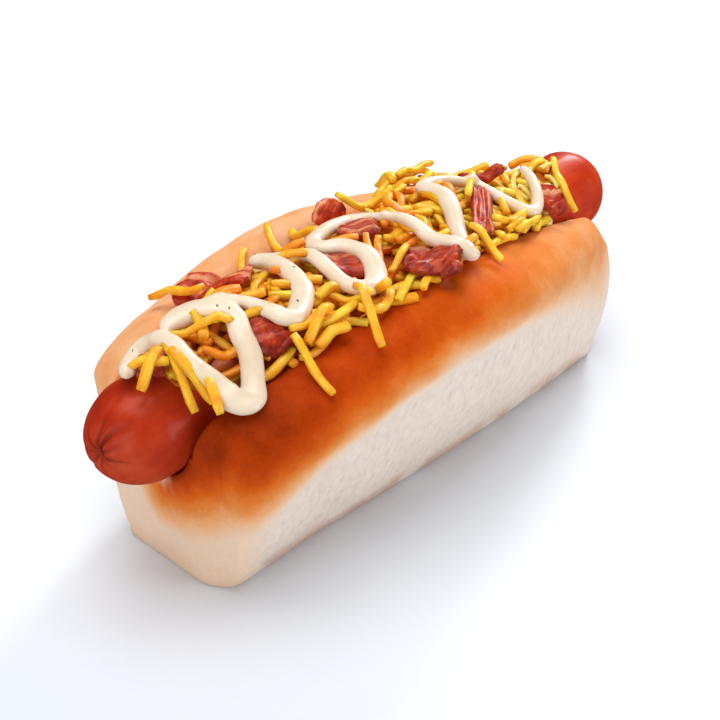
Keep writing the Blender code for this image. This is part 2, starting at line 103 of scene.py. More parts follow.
def set_inputs(tree: bpy.types.NodeTree, node: bpy.types.Node, inputs: dict[Any, Any]) -> None:
    """Sets a node's inputs.

    Args:
        tree: node tree that the node is in.
        node: the node.
        inputs: a value or an output socket for each input, by name or number.
    """
    for name, value in inputs.items():
        if isinstance(value, bpy.types.NodeSocket):
            tree.links.new(value, node.inputs[name])
        else:
            node.inputs[name].default_value = value


def add_node(tree: bpy.types.NodeTree, kind: str, inputs: dict[Any, Any] | None = None, **settings: Any) -> Any:
    """Adds a node with its settings and links.

    Args:
        tree: node tree that the node goes into.
        kind: the node's type without its ShaderNode prefix.
        inputs: a value or an output socket for each input, by name or number.
        settings: the node's own settings. A ramp's stops are pairs of place and colour.

    Returns:
        The new node.
    """
    node = tree.nodes.new("ShaderNode" + kind)
    for name, value in settings.items():
        if name == "stops":
            ramp = node.color_ramp.elements
            while len(ramp) < len(value):
                ramp.new(1.0)
            for element, (place, colour) in zip(ramp, value):
                element.position = place
                element.color = srgb(colour) if isinstance(colour, str) else (colour, colour, colour, 1.0)
        else:
            setattr(node, name, value)
    set_inputs(tree, node, inputs or {})
    return node


def gridded_cube(cuts: tuple[int, int, int]) -> bmesh.types.BMesh:
    """A cube from -1 to 1.

    Args:
        cuts: into how many its edges along x, y and z are divided.

    Returns:
        The cube as a bmesh.
    """
    bm = bmesh.new()
    bmesh.ops.create_cube(bm, size=2)
    for axis, count in enumerate(cuts):
        if count < 2:
            continue
        edges = [e for e in bm.edges if abs((e.verts[0].co - e.verts[1].co).normalized()[axis]) > 0.9]
        bmesh.ops.subdivide_edges(bm, edges=edges, cuts=count - 1, use_grid_fill=True)
    return bm


def finished(name: str, bm: bmesh.types.BMesh, material: bpy.types.Material) -> bpy.types.Object:
    """Closes a bmesh into a smooth object at the origin, with its faces outwards.

    Args:
        name: the piece's name.
        bm: its mesh, which is freed.
        material: its finish.

    Returns:
        The object, linked to the scene.
    """
    bmesh.ops.recalc_face_normals(bm, faces=bm.faces)
    if bm.calc_volume(signed=True) < 0:
        bmesh.ops.reverse_faces(bm, faces=bm.faces)
    mesh = bpy.data.meshes.new(name)
    bm.to_mesh(mesh)
    bm.free()
    mesh.materials.append(material)
    mesh.shade_smooth()
    piece = bpy.data.objects.new(name, mesh)
    bpy.context.scene.collection.objects.link(piece)
    return piece


def mark(mesh: bpy.types.Mesh, name: str, values: list[float]) -> None:
    """Gives each vertex of a mesh one number under a name that its finish reads."""
    layer = mesh.attributes.new(name, "FLOAT", "POINT")
    layer.data.foreach_set("value", values)


def settle(piece: bpy.types.Object, slot: str, *nodes: str) -> None:
    """Puts a piece on the hot dog's one body.

    Args:
        piece: the finished piece.
        slot: the record's material slot for its finish. Not used.
        nodes: CAD nodes that it stands for.
    """
    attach(piece, "root")
    if nodes:
        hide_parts(*nodes)
    log.info("%s: %d faces", piece.name, len(piece.data.polygons))


@dataclass(frozen=True)
class Finish:
    """What every finish shares: a name, and a Principled shader to build on."""

    name: str

    def start(self) -> tuple[bpy.types.Material, bpy.types.NodeTree, Any, Any]:
        """Makes the bare material.

        Returns:
            The material, its node tree, its shader and the socket of Object coordinates.
        """
        material = bpy.data.materials.new(self.name)
        material.use_nodes = True
        tree = material.node_tree
        coords = add_node(tree, "TexCoord")
        return material, tree, tree.nodes["Principled BSDF"], coords.outputs["Object"]


@dataclass(frozen=True)
class BakedBread(Finish):
    """Soft wheat bread, baked touching its neighbours and pulled apart.

    The eye sees a smooth browned crust with a soft sheen over matt, pale, fibrous walls where the loaves were torn
    from each other, and a golden fringe where one turns into the other. Sizes of the patterns are in mm.
    """

    blotch: float = 9.0
    blotch_shift: float = 0.34
    fibre: float = 1.6
    fibre_stretch: tuple[float, float, float] = (1.0, 1.0, 0.4)
    grain: float = 0.8
    grain_shift: float = 0.1
    grain_depth: float = 0.12
    pore: float = 2.2
    pore_depth: float = 0.35

    def make(self) -> bpy.types.Material:
        """The bread's material, read from the browning, crumb and stain marks on the bun."""
        material, tree, shader, place = self.start()
        browning, crumb, stain = (
            add_node(tree, "Attribute", attribute_name=name).outputs["Fac"]
            for name in ("browning", "crumb", "stain")
        )
        blotches = add_node(
            tree, "TexNoise", {"Vector": place, "Scale": per_mm(self.blotch), "Detail": 6.0, "Roughness": 0.62}
        )
        stretched = add_node(tree, "Mapping", {"Vector": place, "Scale": self.fibre_stretch}).outputs[0]
        fibres = add_node(
            tree, "TexNoise", {"Vector": stretched, "Scale": per_mm(self.fibre), "Detail": 4.0, "Roughness": 0.6}
        )
        grain = add_node(
            tree, "TexNoise", {"Vector": place, "Scale": per_mm(self.grain), "Detail": 3.0, "Roughness": 0.7}
        ).outputs["Fac"]

        # The blotches and the grain shift how brown the crust is, and leave the torn wall alone.
        shifted = add_node(
            tree,
            "Math",
            {0: blotches.outputs["Fac"], 1: self.blotch_shift, 2: -self.blotch_shift / 2},
            operation="MULTIPLY_ADD",
        )
        on_crust = add_node(tree, "MapRange", {0: browning, 1: 0.12, 2: 0.4}, interpolation_type="SMOOTHSTEP")
        spotted = add_node(tree, "Math", {0: shifted.outputs[0], 1: on_crust.outputs[0]}, operation="MULTIPLY")
        baked = add_node(tree, "Math", {0: browning, 1: spotted.outputs[0]}, operation="ADD")
        fine = add_node(
            tree, "Math", {0: grain, 1: self.grain_shift, 2: -self.grain_shift / 2}, operation="MULTIPLY_ADD"
        )
        baked = add_node(
            tree, "Math", {0: baked.outputs[0], 1: fine.outputs[0]}, operation="ADD", use_clamp=True
        ).outputs[0]

        crust = add_node(
            tree,
            "ValToRGB",
            {0: baked},
            stops=[
                (0.0, "#EBD9CB"),
                (0.14, "#EBCBAE"),
                (0.3, "#E9A874"),
                (0.46, "#E0853E"),
                (0.64, "#D66013"),
                (0.82, "#B93F02"),
                (1.0, "#852600"),
            ],
        )
        wall = add_node(
            tree,
            "ValToRGB",
            {0: fibres.outputs["Fac"]},
            stops=[(0.25, "#DAC6B9"), (0.45, "#E3D3C6"), (0.65, "#EADBCF")],
        )
        stained = add_node(tree, "MixRGB", {0: stain, 1: wall.outputs[0], 2: srgb("#C79A80")})
        is_wall = add_node(
            tree, "MapRange", {0: baked, 1: 0.02, 2: 0.2, 3: 1.0, 4: 0.0}, interpolation_type="SMOOTHSTEP"
        ).outputs[0]
        skin = add_node(tree, "MixRGB", {0: is_wall, 1: crust.outputs[0], 2: stained.outputs[0]})
        torn = add_node(tree, "ValToRGB", {0: grain}, stops=[(0.3, "#E3BE8C"), (0.6, "#FBEBCB")])
        colour = add_node(tree, "MixRGB", {0: crumb, 1: skin.outputs[0], 2: torn.outputs[0]})
        matt = add_node(tree, "MapRange", {0: baked, 1: 0.1, 2: 0.6, 3: 0.9, 4: 0.6})

        pores = add_node(
            tree, "TexNoise", {"Vector": place, "Scale": per_mm(self.pore), "Detail": 5.0, "Roughness": 0.68}
        )
        pitted = add_node(
            tree, "ValToRGB", {0: pores.outputs["Fac"]}, stops=[(0.34, 0.0), (0.5, 0.8), (0.7, 1.0)]
        )
        relief = add_node(tree, "Math", {0: pitted.outputs[0], 1: is_wall}, operation="MULTIPLY").outputs[0]
        rough_wall = add_node(
            tree, "Bump", {"Height": relief, "Distance": self.pore_depth * MM, "Strength": 0.25}
        ).outputs[0]
        dimples = add_node(
            tree,
            "Bump",
            {"Height": grain, "Distance": self.grain_depth * MM, "Strength": 0.5, "Normal": rough_wall},
        )
        look = {
            "Base Color": colour.outputs[0],
            "Roughness": matt.outputs[0],
            "Normal": dimples.outputs[0],
            "Specular IOR Level": 0.05,
        }
        set_inputs(tree, shader, look)
        return material


@dataclass(frozen=True)
class CookedSkin(Finish):
    """Collagen casing of a cooked, smoked sausage.

    It gives the eye a smooth, moist, brick-red skin with pinkish highlights and faint lengthwise streaks, and
    painted shade darkens the creases where the casing gathers at its end, and its near end. Sizes of the patterns
    are in mm.
    """

    cloud: float = 11.0
    streak: float = 1.6
    streak_stretch: tuple[float, float, float] = (0.12, 1.0, 1.0)
    streak_depth: float = 0.12

    def make(self) -> bpy.types.Material:
        """The sausage's material, read from the crease mark: painted shade in the folds and over the near end."""
        material, tree, shader, place = self.start()
        crease = add_node(tree, "Attribute", attribute_name="crease").outputs["Fac"]
        cloud = add_node(
            tree, "TexNoise", {"Vector": place, "Scale": per_mm(self.cloud), "Detail": 4.0, "Roughness": 0.55}
        )
        stretched = add_node(tree, "Mapping", {"Vector": place, "Scale": self.streak_stretch}).outputs[0]
        streak = add_node(
            tree, "TexNoise", {"Vector": stretched, "Scale": per_mm(self.streak), "Detail": 4.0, "Roughness": 0.6}
        ).outputs["Fac"]
        base = add_node(
            tree,
            "ValToRGB",
            {0: cloud.outputs["Fac"]},
            stops=[(0.3, "#B2280A"), (0.5, "#C63812"), (0.72, "#D84E28")],
        )
        streaked = add_node(tree, "MixRGB", {0: 0.22, 1: base.outputs[0], 2: streak}, blend_type="OVERLAY")
        # Painted shade: the crease mark darkens the skin in the folds and over the near end.
        colour = add_node(tree, "MixRGB", {0: crease, 1: streaked.outputs[0], 2: srgb("#5E1206")})
        ripple = add_node(tree, "Bump", {"Height": streak, "Distance": self.streak_depth * MM, "Strength": 0.45})
        look = {
            "Base Color": colour.outputs[0],
            "Normal": ripple.outputs[0],
            "Roughness": 0.5,
            "Specular IOR Level": 0.1,
            "Subsurface Weight": 0.12,
            "Subsurface Radius": (1.0, 0.35, 0.2),
            "Subsurface Scale": 1.5 * MM,
            "Coat Weight": 0.14,
            "Coat Roughness": 0.22,
        }
        set_inputs(tree, shader, look)
        return material


@dataclass(frozen=True)
class GratedCheese(Finish):
    """Grated cheddar. It gives the eye waxy, slightly see-through yellow strips with an oily sheen."""

    # Painted shade and painted light: the cheese's colour in shade and in light, which the finish mixes.
    shaded: str
    lit: str

    def make(self) -> bpy.types.Material:
        """The cheese's material, its painted shade and painted light colours mixed in random patches from shred to
        shred, and fibrous along each.
        """
        material, tree, shader, place = self.start()
        patch = add_node(tree, "TexNoise", {"Vector": place, "Scale": per_mm(5), "Detail": 3.0, "Roughness": 0.5})
        grain = add_node(
            tree, "TexNoise", {"Vector": place, "Scale": per_mm(0.9), "Detail": 3.0, "Roughness": 0.6}
        ).outputs["Fac"]
        colour = add_node(
            tree, "ValToRGB", {0: patch.outputs["Fac"]}, stops=[(0.35, self.shaded), (0.62, self.lit)]
        )
        chalky = add_node(tree, "MixRGB", {0: 0.12, 1: colour.outputs[0], 2: grain}, blend_type="OVERLAY")
        bump = add_node(tree, "Bump", {"Height": grain, "Distance": 0.15 * MM, "Strength": 0.4})
        look = {
            "Base Color": chalky.outputs[0],
            "Normal": bump.outputs[0],
            "Roughness": 0.42,
            "Subsurface Weight": 0.7,
            "Subsurface Radius": (1.0, 0.5, 0.1),
            "Subsurface Scale": 2.2 * MM,
        }
        set_inputs(tree, shader, look)
        return material


@dataclass(frozen=True)
class CreamySauce(Finish):
    """Thick mayonnaise-based sauce: a smooth, glossy, cream-white emulsion that light sinks into."""

    def make(self) -> bpy.types.Material:
        """The sauce's material: near white, a little warmer in places."""
        material, tree, shader, place = self.start()
        cloud = add_node(tree, "TexNoise", {"Vector": place, "Scale": per_mm(7), "Detail": 3.0, "Roughness": 0.5})
        colour = add_node(
            tree, "ValToRGB", {0: cloud.outputs["Fac"]}, stops=[(0.35, "#E8D3B6"), (0.65, "#F0DFC9")]
        )
        look = {
            "Base Color": colour.outputs[0],
            "Roughness": 0.33,
            "Subsurface Weight": 0.3,
            "Subsurface Radius": (1.0, 0.8, 0.55),
            "Subsurface Scale": 1.5 * MM,
        }
        set_inputs(tree, shader, look)
        return material


@dataclass(frozen=True)
class DriedHerb(Finish):
    """Flakes of dried herb: dull, brittle, grey-green leaf."""

    def make(self) -> bpy.types.Material:
        """The herb's material, two greens mixed."""
        material, tree, shader, place = self.start()
        spot = add_node(tree, "TexNoise", {"Vector": place, "Scale": per_mm(0.8), "Detail": 2.0})
        colour = add_node(
            tree, "ValToRGB", {0: spot.outputs["Fac"]}, stops=[(0.35, "#4C5530"), (0.65, "#9A9C6C")]
        )
        set_inputs(tree, shader, {"Base Color": colour.outputs[0], "Roughness": 0.7})
        return material


@dataclass(frozen=True)
class FriedBacon(Finish):
    """Fried streaky bacon: glossy, oily, dark red lean with bands of paler fat along it."""

    def make(self) -> bpy.types.Material:
        """The bacon's material, read from the fat and char marks on each piece."""
        material, tree, shader, place = self.start()
        fat, char = (add_node(tree, "Attribute", attribute_name=name).outputs["Fac"] for name in ("fat", "char"))
        cloud = add_node(
            tree, "TexNoise", {"Vector": place, "Scale": per_mm(3), "Detail": 5.0, "Roughness": 0.65}
        ).outputs["Fac"]
        lean = add_node(
            tree, "ValToRGB", {0: cloud}, stops=[(0.3, "#7A1206"), (0.48, "#B82E0C"), (0.68, "#E25A22")]
        )
        fatty = add_node(tree, "ValToRGB", {0: cloud}, stops=[(0.3, "#D0602F"), (0.65, "#F5AE7C")])
        mixed = add_node(tree, "MixRGB", {0: fat, 1: lean.outputs[0], 2: fatty.outputs[0]})
        colour = add_node(tree, "MixRGB", {0: char, 1: mixed.outputs[0], 2: srgb("#4A0E06")})
        bump = add_node(tree, "Bump", {"Height": cloud, "Distance": 0.4 * MM, "Strength": 0.6})
        look = {
            "Base Color": colour.outputs[0],
            "Normal": bump.outputs[0],
            "Roughness": 0.45,
            "Specular IOR Level": 0.3,
            "Coat Weight": 0.06,
            "Coat Roughness": 0.3,
        }
        set_inputs(tree, shader, look)
        return material


@dataclass(frozen=True)
class StudioPaper(Finish):
    """White background paper: matt and even."""

    def make(self) -> bpy.types.Material:
        """The floor's material."""
        material, tree, shader, place = self.start()
        tooth = add_node(tree, "TexNoise", {"Vector": place, "Scale": per_mm(2), "Detail": 2.0})
        colour = add_node(
            tree, "ValToRGB", {0: tooth.outputs["Fac"]}, stops=[(0.0, "#E9EFF7"), (1.0, "#EBF1F9")]
        )
        look = {"Base Color": colour.outputs[0], "Roughness": 0.9, "Specular IOR Level": 0.0}
        set_inputs(tree, shader, look)
        return material


@dataclass
class Sausage:
    """The sausage: a long capsule whose puckered end is fuller and more pointed than the smooth one."""

    height: float = 43.2 * MM
    near_cap_x: float = -83.3 * MM
    far_cap_x: float = 86.2 * MM
    near_radius: float = 13.1 * MM
    far_radius: float = 12.3 * MM
    near_cap_length: float = 14.5 * MM
    far_cap_length: float = 11.5 * MM
    cap_share: float = 0.28
    # Folds at the puckered end: angle and bend in degrees, how far each reaches, and how deep it is.
    creases: tuple[tuple[float, float, float, float], ...] = (
        (96, -16, 0.95, 0.8), (112, 14, 0.8, 1.0), (138, 20, 0.6, 0.7), (172, 12, 0.75, 0.8), (200, -10, 0.5, 0.6),
        (42, 10, 0.6, 0.7), (250, 0, 0.5, 0.7), (300, 12, 0.6, 0.6), (350, 0, 0.5, 0.5),
    )
    crease_width: float = 0.75 * MM
    crease_depth: float = 1.0 * MM
    # What makes the near end full and pointed, and how its middle is drawn in.
    near_point: float = 1.15
    near_fullness: float = 0.95
    pucker_depth: float = 1.5 * MM
    pucker_reach: float = 0.2
    # Painted shade over the near end of the skin: how dark, and over what length.
    near_end_painted_shade: float = 0.25
    near_end_shade_length: float = 20 * MM
    round_cuts: int = 144
    long_cuts: int = 200

    def radius(self, x: float) -> float:
        """Radius of the body at x, tapering from the puckered end to the smooth one."""
        share = (x - self.near_cap_x) / (self.far_cap_x - self.near_cap_x)
        return self.near_radius + (self.far_radius - self.near_radius) * min(max(share, 0.0), 1.0)

    def top(self, x: float, y: float) -> float:
        """Height of the upper side over (x, y), and the base plane where there is none."""
        past = max(self.near_cap_x - x, x - self.far_cap_x, 0.0)
        radius = math.sqrt(max(self.radius(x) ** 2 - past**2, 0.0))
        return self.height + math.sqrt(radius**2 - y**2) if abs(y) < radius else 0.0

    def crease(self, turn: float, out: float) -> float:
        """Depth of the gathered casing near the puckered end.

        Args:
            turn: angle round the sausage.
            out: how far from the pole, from 0 to 1 at the cap's edge.

        Returns:
            From 0 between the folds to 1 in them.
        """
        deepest = 0.0
        for angle, bend, reach, depth in self.creases:
            away = math.remainder(turn - math.radians(angle + bend * out), math.tau)
            across = away * self.near_radius * math.sin(math.pi / 2 * out) / self.crease_width
            deepest = max(deepest, depth * math.exp(-across * across) * (1 - smooth_step(out / reach)))
        return deepest

    def place(self, co: Vector) -> tuple[Vector, float]:
        """Where a point of the unit sphere lands on the sausage.

        Args:
            co: the point, whose z runs along the sausage.

        Returns:
            The place, and how dark its skin is painted: painted shade in its creases and over its near end.
        """
        polar = math.acos(min(max(-co.z, -1.0), 1.0)) / math.pi
        turn = math.atan2(co.y, co.x)
        crease = 0.0
        if polar < self.cap_share:
            out = polar / self.cap_share
            angle = math.pi / 2 * out
            crease = self.crease(turn, out)
            x = self.near_cap_x - self.near_cap_length * math.cos(angle) ** self.near_point
            radius = self.near_radius * math.sin(angle) ** self.near_fullness
            radius -= self.crease_depth * crease * min(2 * out, 1.0)
            drawn_in = self.pucker_depth * (1 - smooth_step(out / self.pucker_reach))
            x += drawn_in + self.crease_depth * crease * (1 - out)
        elif polar > 1 - self.cap_share:
            angle = math.pi / 2 * (1 - polar) / self.cap_share
            x = self.far_cap_x + self.far_cap_length * math.cos(angle)
            radius = self.far_radius * math.sin(angle)
        else:
            along = (self.far_cap_x - self.near_cap_x) * (polar - self.cap_share)
            x = self.near_cap_x + along / (1 - 2 * self.cap_share)
            radius = self.radius(x)
        point = Vector((x, radius * math.cos(turn), self.height + radius * math.sin(turn)))
        uneven = lumps(point, 13, 0.3) + lumps(point, 5, 0.08)
        outward = Vector((0.0, math.cos(turn), math.sin(turn)))
        # Painted shade: the skin is darkened over the near end, where it lies in shade.
        end_shade = self.near_end_painted_shade * (1 - smooth_step((x - self.near_cap_x) / self.near_end_shade_length))
        return point + outward * uneven * MM * min(radius / self.far_radius, 1.0), max(crease, end_shade)

    def build(self, finish: Finish) -> bpy.types.Object:
        """Makes the sausage and puts it in its node's place."""
        bm = bmesh.new()
        bmesh.ops.create_uvsphere(bm, u_segments=self.round_cuts, v_segments=self.long_cuts, radius=1)
        creases = []
        for vert in bm.verts:
            vert.co, crease = self.place(vert.co.normalized())
            creases.append(crease)
        piece = finished("smoked_sausage", bm, finish.make())
        # The crease mark holds painted shade: in the folds and over the near end.
        mark(piece.data, "crease", creases)
        settle(piece, "sausage_skin", "sausage")
        return piece


@dataclass
class BunSection:
    """Half of the bun's U-shaped cross-section at one x, as an outer and an inner curve of (y, z)."""

    bun: "Bun"
    x: float
    far: bool
    shoulder: float = field(init=False)
    slot_radius: float = field(init=False)
    inner: float = field(init=False)
    outer: float = field(init=False)
    crest: float = field(init=False)
    base: float = field(init=False)
    bottom: float = field(init=False)
    equator: float = field(init=False)
    top: float = field(init=False)
    corner_start: float = 0.22
    wall_start: float = 0.32
    dome_start: float = 0.64
    slot_end: float = 0.46
    inner_dome_start: float = 0.62
    closing_start: float = 0.8
    dome_reach: float = 64.0

    def __post_init__(self) -> None:
        """Works out the section's own sizes from the bun's."""
        bun, x = self.bun, self.x
        outer = bun.along(bun.outer_half, x)
        self.slot_radius = bun.sausage.radius(x) + bun.fit_gap
        self.inner = max(self.slot_radius + bun.fit_gap, outer - bun.along(bun.lip_thickness, x))
        corner = bun.corner_share(x, bun.end_corner_length) ** 4
        self.outer = outer - (outer - self.inner - bun.end_lip_thickness) * corner
        self.crest = self.inner + (self.outer - self.inner) * bun.lip_crest
        self.shoulder = bun.far_shoulder if self.far else 1.0
        self.base = bun.base_at(x) - bun.base_corner_inset * bun.corner_share(x, bun.base_corner_length) ** 2.5
        self.bottom = bun.rounded_in(x, bun.end_edge_radius)
        self.equator = bun.along(bun.equator_height, x)
        self.top = bun.along(bun.dome_top_height, x) - bun.rounded_in(x, bun.end_top_radius)
        if self.far:
            self.base -= bun.base_far_taper * ease(-x / bun.half_length, bun.end_from, 1.0)
            self.top -= bun.far_top_drop
            self.outer -= bun.far_slimness * smooth_step((bun.slim_from - x) / bun.slim_reach)

    def dome(self, angle: float) -> tuple[float, float]:
        """Point on the lip's domed top, with the angle counted from its outer side."""
        cosine, sine = math.cos(angle), math.sin(angle)
        if cosine > 0:
            cosine, sine = cosine**self.shoulder, sine**self.shoulder
        half = self.outer - self.crest if cosine > 0 else self.crest - self.inner
        return self.crest + half * cosine, self.equator + (self.top - self.equator) * sine

    def outer_point(self, q: float) -> tuple[float, float]:
        """Outer side, from the middle of the base at q = 0, up the wall to the dome at q = 1."""
        radius = self.bun.base_edge_radius
        if q < self.corner_start:
            return (self.base - radius) * q / self.corner_start, self.bottom
        if q < self.wall_start:
            share = (q - self.corner_start) / (self.wall_start - self.corner_start)
            angle = math.radians(-90 + 75 * share)
            across, up = radius * math.cos(angle), radius * math.sin(angle)
            return self.base - radius + across, self.bottom + radius + up
        foot_y, foot_z = self.base, self.bottom + radius * 0.75
        if q < self.dome_start:
            share = (q - self.wall_start) / (self.dome_start - self.wall_start)
            bulge = self.bun.wall_bulge * math.sin(math.pi * share)
            return foot_y + (self.outer - foot_y) * share + bulge, foot_z + (self.equator - foot_z) * share
        return self.dome(math.radians(self.dome_reach * (q - self.dome_start) / (1 - self.dome_start)))

    def inner_point(self, q: float) -> tuple[float, float]:
        """Inner side, from under the sausage at q = 0, round it and up to the dome at q = 1."""
        height = self.bun.sausage.height
        contact = math.asin(min(0.0, (self.equator - height) / self.slot_radius))
        if q < self.slot_end:
            angle = -math.pi / 2 + (contact + math.pi / 2) * q / self.slot_end
            return self.slot_radius * math.cos(angle), height + self.slot_radius * math.sin(angle)
        if q < self.inner_dome_start:
            share = (q - self.slot_end) / (self.inner_dome_start - self.slot_end)
            low_y = self.slot_radius * math.cos(contact)
            low_z = height + self.slot_radius * math.sin(contact)
            return low_y + (self.inner - low_y) * share, low_z + (self.equator - low_z) * share
        up = self.dome_reach * (q - self.inner_dome_start) / (1 - self.inner_dome_start)
        return self.dome(math.radians(180 - up))

    def point(self, q: float, depth: float) -> tuple[float, float]:
        """Point between the outer side at depth 0 and the inner side at depth 1. The dome closes at q = 1."""
        outer_y, outer_z = self.outer_point(q)
        inner_y, inner_z = self.inner_point(q)
        flat = (outer_y + (inner_y - outer_y) * depth, outer_z + (inner_z - outer_z) * depth)
        start, end = self.dome_reach, 180 - self.dome_reach
        low, high = self.dome(math.radians(start)), self.dome(math.radians(end))
        over = self.dome(math.radians(start + (end - start) * depth))
        share = smooth_step((q - self.closing_start) / 0.2)
        y, z = (f + (o - a - (b - a) * depth) * share for f, o, a, b in zip(flat, over, low, high))
        return y, z


@dataclass(frozen=True)
class Bake:
    """How the bread is baked: where the torn wall turns into crust, and how dark the crust is. Sizes are in mm."""

    # Lower edge of the crust along the sides: its highest place and how it comes down from there.
    edge_height: float = 47.5
    edge_fall: float = 26.0
    edge_crest_x: float = -15.0
    edge_reach: tuple[float, float] = (58.0, 74.0)
    edge_power: float = 1.7
    # The same edge on the ends, and the height over which the crust darkens there: middle, and what corners add.
    end_edge: tuple[float, float] = (10.5, 9.0)
    end_span: tuple[float, float] = (34.0, 16.0)
    end_half_width: float = 26.0
    end_from: tuple[float, float] = (72.0, 80.0)
    darkest_below_top: float = 3.5
    # Browning of the near half, and where along the bun it pales; then the far half's, kept paler partly for its
    # lighter bake and partly as painted light for the sheen on its lip.
    near_brown: float = 0.96
    first_pale: tuple[float, float, float] = (0.14, -75.0, -40.0)
    second_pale: tuple[float, float, float] = (0.43, -45.0, 70.0)
    far_brown_and_sheen: float = 0.3
    far_from: tuple[float, float] = (-4.0, 8.0)
    fringe: float = 0.13
    fringe_height: float = 5.0
    near_end_tint: tuple[float, float, float] = (0.15, 62.0, 76.0)


@dataclass
class Bun:
    """The bun: bread folded up both sides of the sausage, browned above and torn pale at its sides."""

    sausage: Sausage
    half_length: float = 78 * MM
    base_half_width: tuple[float, float] = (23.3 * MM, 3.3 * MM)
    base_widest_x: float = 32 * MM
    base_far_taper: float = 5 * MM
    base_edge_radius: float = 4 * MM
    fullest_x: float = -10 * MM
    outer_half: tuple[float, float] = (26 * MM, 15.5 * MM)
    equator_height: tuple[float, float] = (37.5 * MM, 11 * MM)
    dome_top_height: tuple[float, float] = (47 * MM, 14 * MM)
    lip_thickness: tuple[float, float] = (19 * MM, 5.5 * MM)
    lip_crest: float = 0.3
    swell_power: float = 1.75
    far_shoulder: float = 1.3
    far_top_drop: float = 1.3 * MM
    far_slimness: float = 1.6 * MM
    slim_from: float = 20 * MM
    slim_reach: float = 60 * MM
    wall_bulge: float = 1.4 * MM
    end_bulge: tuple[float, float] = (3 * MM, 6 * MM)
    bulge_top: tuple[float, float] = (69 * MM, 42 * MM)
    bulge_foot: tuple[float, float] = (14 * MM, 0.0)
    end_from: float = 0.6
    end_lean: tuple[float, float] = (1 * MM, 7 * MM)
    end_lean_start: float = 43 * MM
    base_corner_length: float = 8 * MM
    base_corner_inset: float = 4 * MM
    end_corner_length: float = 24 * MM
    end_corner_sag: tuple[float, float] = (9 * MM, 3 * MM)
    end_corner_start: float = 10 * MM
    end_corner_width: float = 19 * MM
    end_top_radius: float = 4 * MM
    end_lip_thickness: float = 9.5 * MM
    end_edge_radius: float = 1.5 * MM
    unevenness: float = 0.7 * MM
    fit_gap: float = 0.5 * MM
    cuts: tuple[int, int, int] = (156, 214, 14)
    corner_smoothing: int = 16
    bake: Bake = Bake()

    def swell(self, x: float) -> float:
        """How far the bun is opened at x: 1 where it is fullest, falling towards both ends."""
        return 1 - abs((x - self.fullest_x) / self.half_length) ** self.swell_power

    def along(self, pair: tuple[float, float], x: float) -> float:
        """A size at x, from its value at the ends and what the fullest place adds."""
        return pair[0] + pair[1] * self.swell(x)

    def base_at(self, x: float) -> float:
        """Half width of the base at x."""
        spread = max(1 - abs((x - self.base_widest_x) / self.half_length) ** 1.6, 0.0)
        return self.base_half_width[0] + self.base_half_width[1] * spread

    def end_push(self, x: float, y: float, z: float) -> float:
        """How far an end stands out: it bulges low down, leans inwards above and has rounded corners."""
        end = 0 if x < 0 else 1
        foot, top = self.bulge_foot[end], self.bulge_top[end]
        bulge = self.end_bulge[end] * math.sin(math.pi * min((z + foot) / (top + foot), 1.0))
        lean = self.end_lean[end] * smooth_step((z - self.end_lean_start) / self.dome_top_height[1])
        past = max((abs(y) - self.end_corner_start) / self.end_corner_width, 0.0)
        return bulge - lean - self.end_corner_sag[end] * past**2.2

    def rounded_in(self, x: float, radius: float) -> float:
        """Inset of a surface near the ends, as a quarter circle of this radius."""
        share = min(max((abs(x) - (self.half_length - radius)) / radius, 0.0), 1.0)
        return radius * (1 - math.sqrt(1 - share * share))

    def corner_share(self, x: float, length: float) -> float:
        """How far into the rounded corner of an end x is: 0 before it, 1 at the end."""
        return min(max((abs(x) - (self.half_length - length)) / length, 0.0), 1.0)

    def end_share(self, x: float) -> float:
        """How much of an end's bulge and lean a place takes: 0 along the middle, 1 at the ends."""
        return ease(abs(x) / self.half_length, self.end_from, 1.0)

    def place(self, co: Vector, sections: dict[tuple[float, bool], BunSection]) -> Vector:
        """Where a point of the cube from -1 to 1 lands on the bun.

        Args:
            co: x runs along the bun, y round the U from the near lip to the far one, and z through the bread.
            sections: cross-sections already worked out, by x and half.

        Returns:
            The place on the bun.
        """
        x = self.half_length * co.x * (1.3 - 0.3 * co.x**2)
        x = min(max(x, -self.half_length), self.half_length)
        key = (round(x, 7), co.y > 0)
        if key not in sections:
            sections[key] = BunSection(self, x, co.y > 0)
        y, z = sections[key].point(abs(co.y), (co.z + 1) / 2)
        y = math.copysign(y, co.y) if co.y else 0.0
        x += math.copysign(self.end_push(x, y, z) * self.end_share(x), x)
        point = Vector((x, y, z))
        if z > self.base_edge_radius and co.z < 0:
            point += noise.noise_vector(point / (14 * MM)) * self.unevenness * smooth_step(-co.z)
        return point

    def out_at_end(self, point: Vector) -> float:
        """How far out on an end face a place is: 0 in its middle, 1 at its corners."""
        return min(abs(point.y) / (self.bake.end_half_width * MM), 1.0) ** 2

    def at_end(self, point: Vector) -> float:
        """How far a place is on one of the end faces: 0 on the sides, 1 on the ends."""
        return ease(abs(point.x) / MM, *self.bake.end_from)

    def crust_edge(self, point: Vector) -> float:
        """Height at which the torn wall turns into crust, over a place on the outside."""
        bake, along = self.bake, point.x / MM - self.bake.edge_crest_x
        reach = bake.edge_reach[0] if along < 0 else bake.edge_reach[1]
        side = bake.edge_height - bake.edge_fall * (abs(along) / reach) ** bake.edge_power
        end = bake.end_edge[0] + bake.end_edge[1] * self.out_at_end(point)
        return (side + (end - side) * self.at_end(point)) * MM

    def crust_span(self, point: Vector) -> float:
        """Height over which the crust darkens above its lower edge."""
        side = self.along(self.dome_top_height, point.x) / MM - self.bake.darkest_below_top
        end = self.bake.end_span[0] + self.bake.end_span[1] * self.out_at_end(point)
        return (side + (end - side) * self.at_end(point)) * MM - self.crust_edge(point)

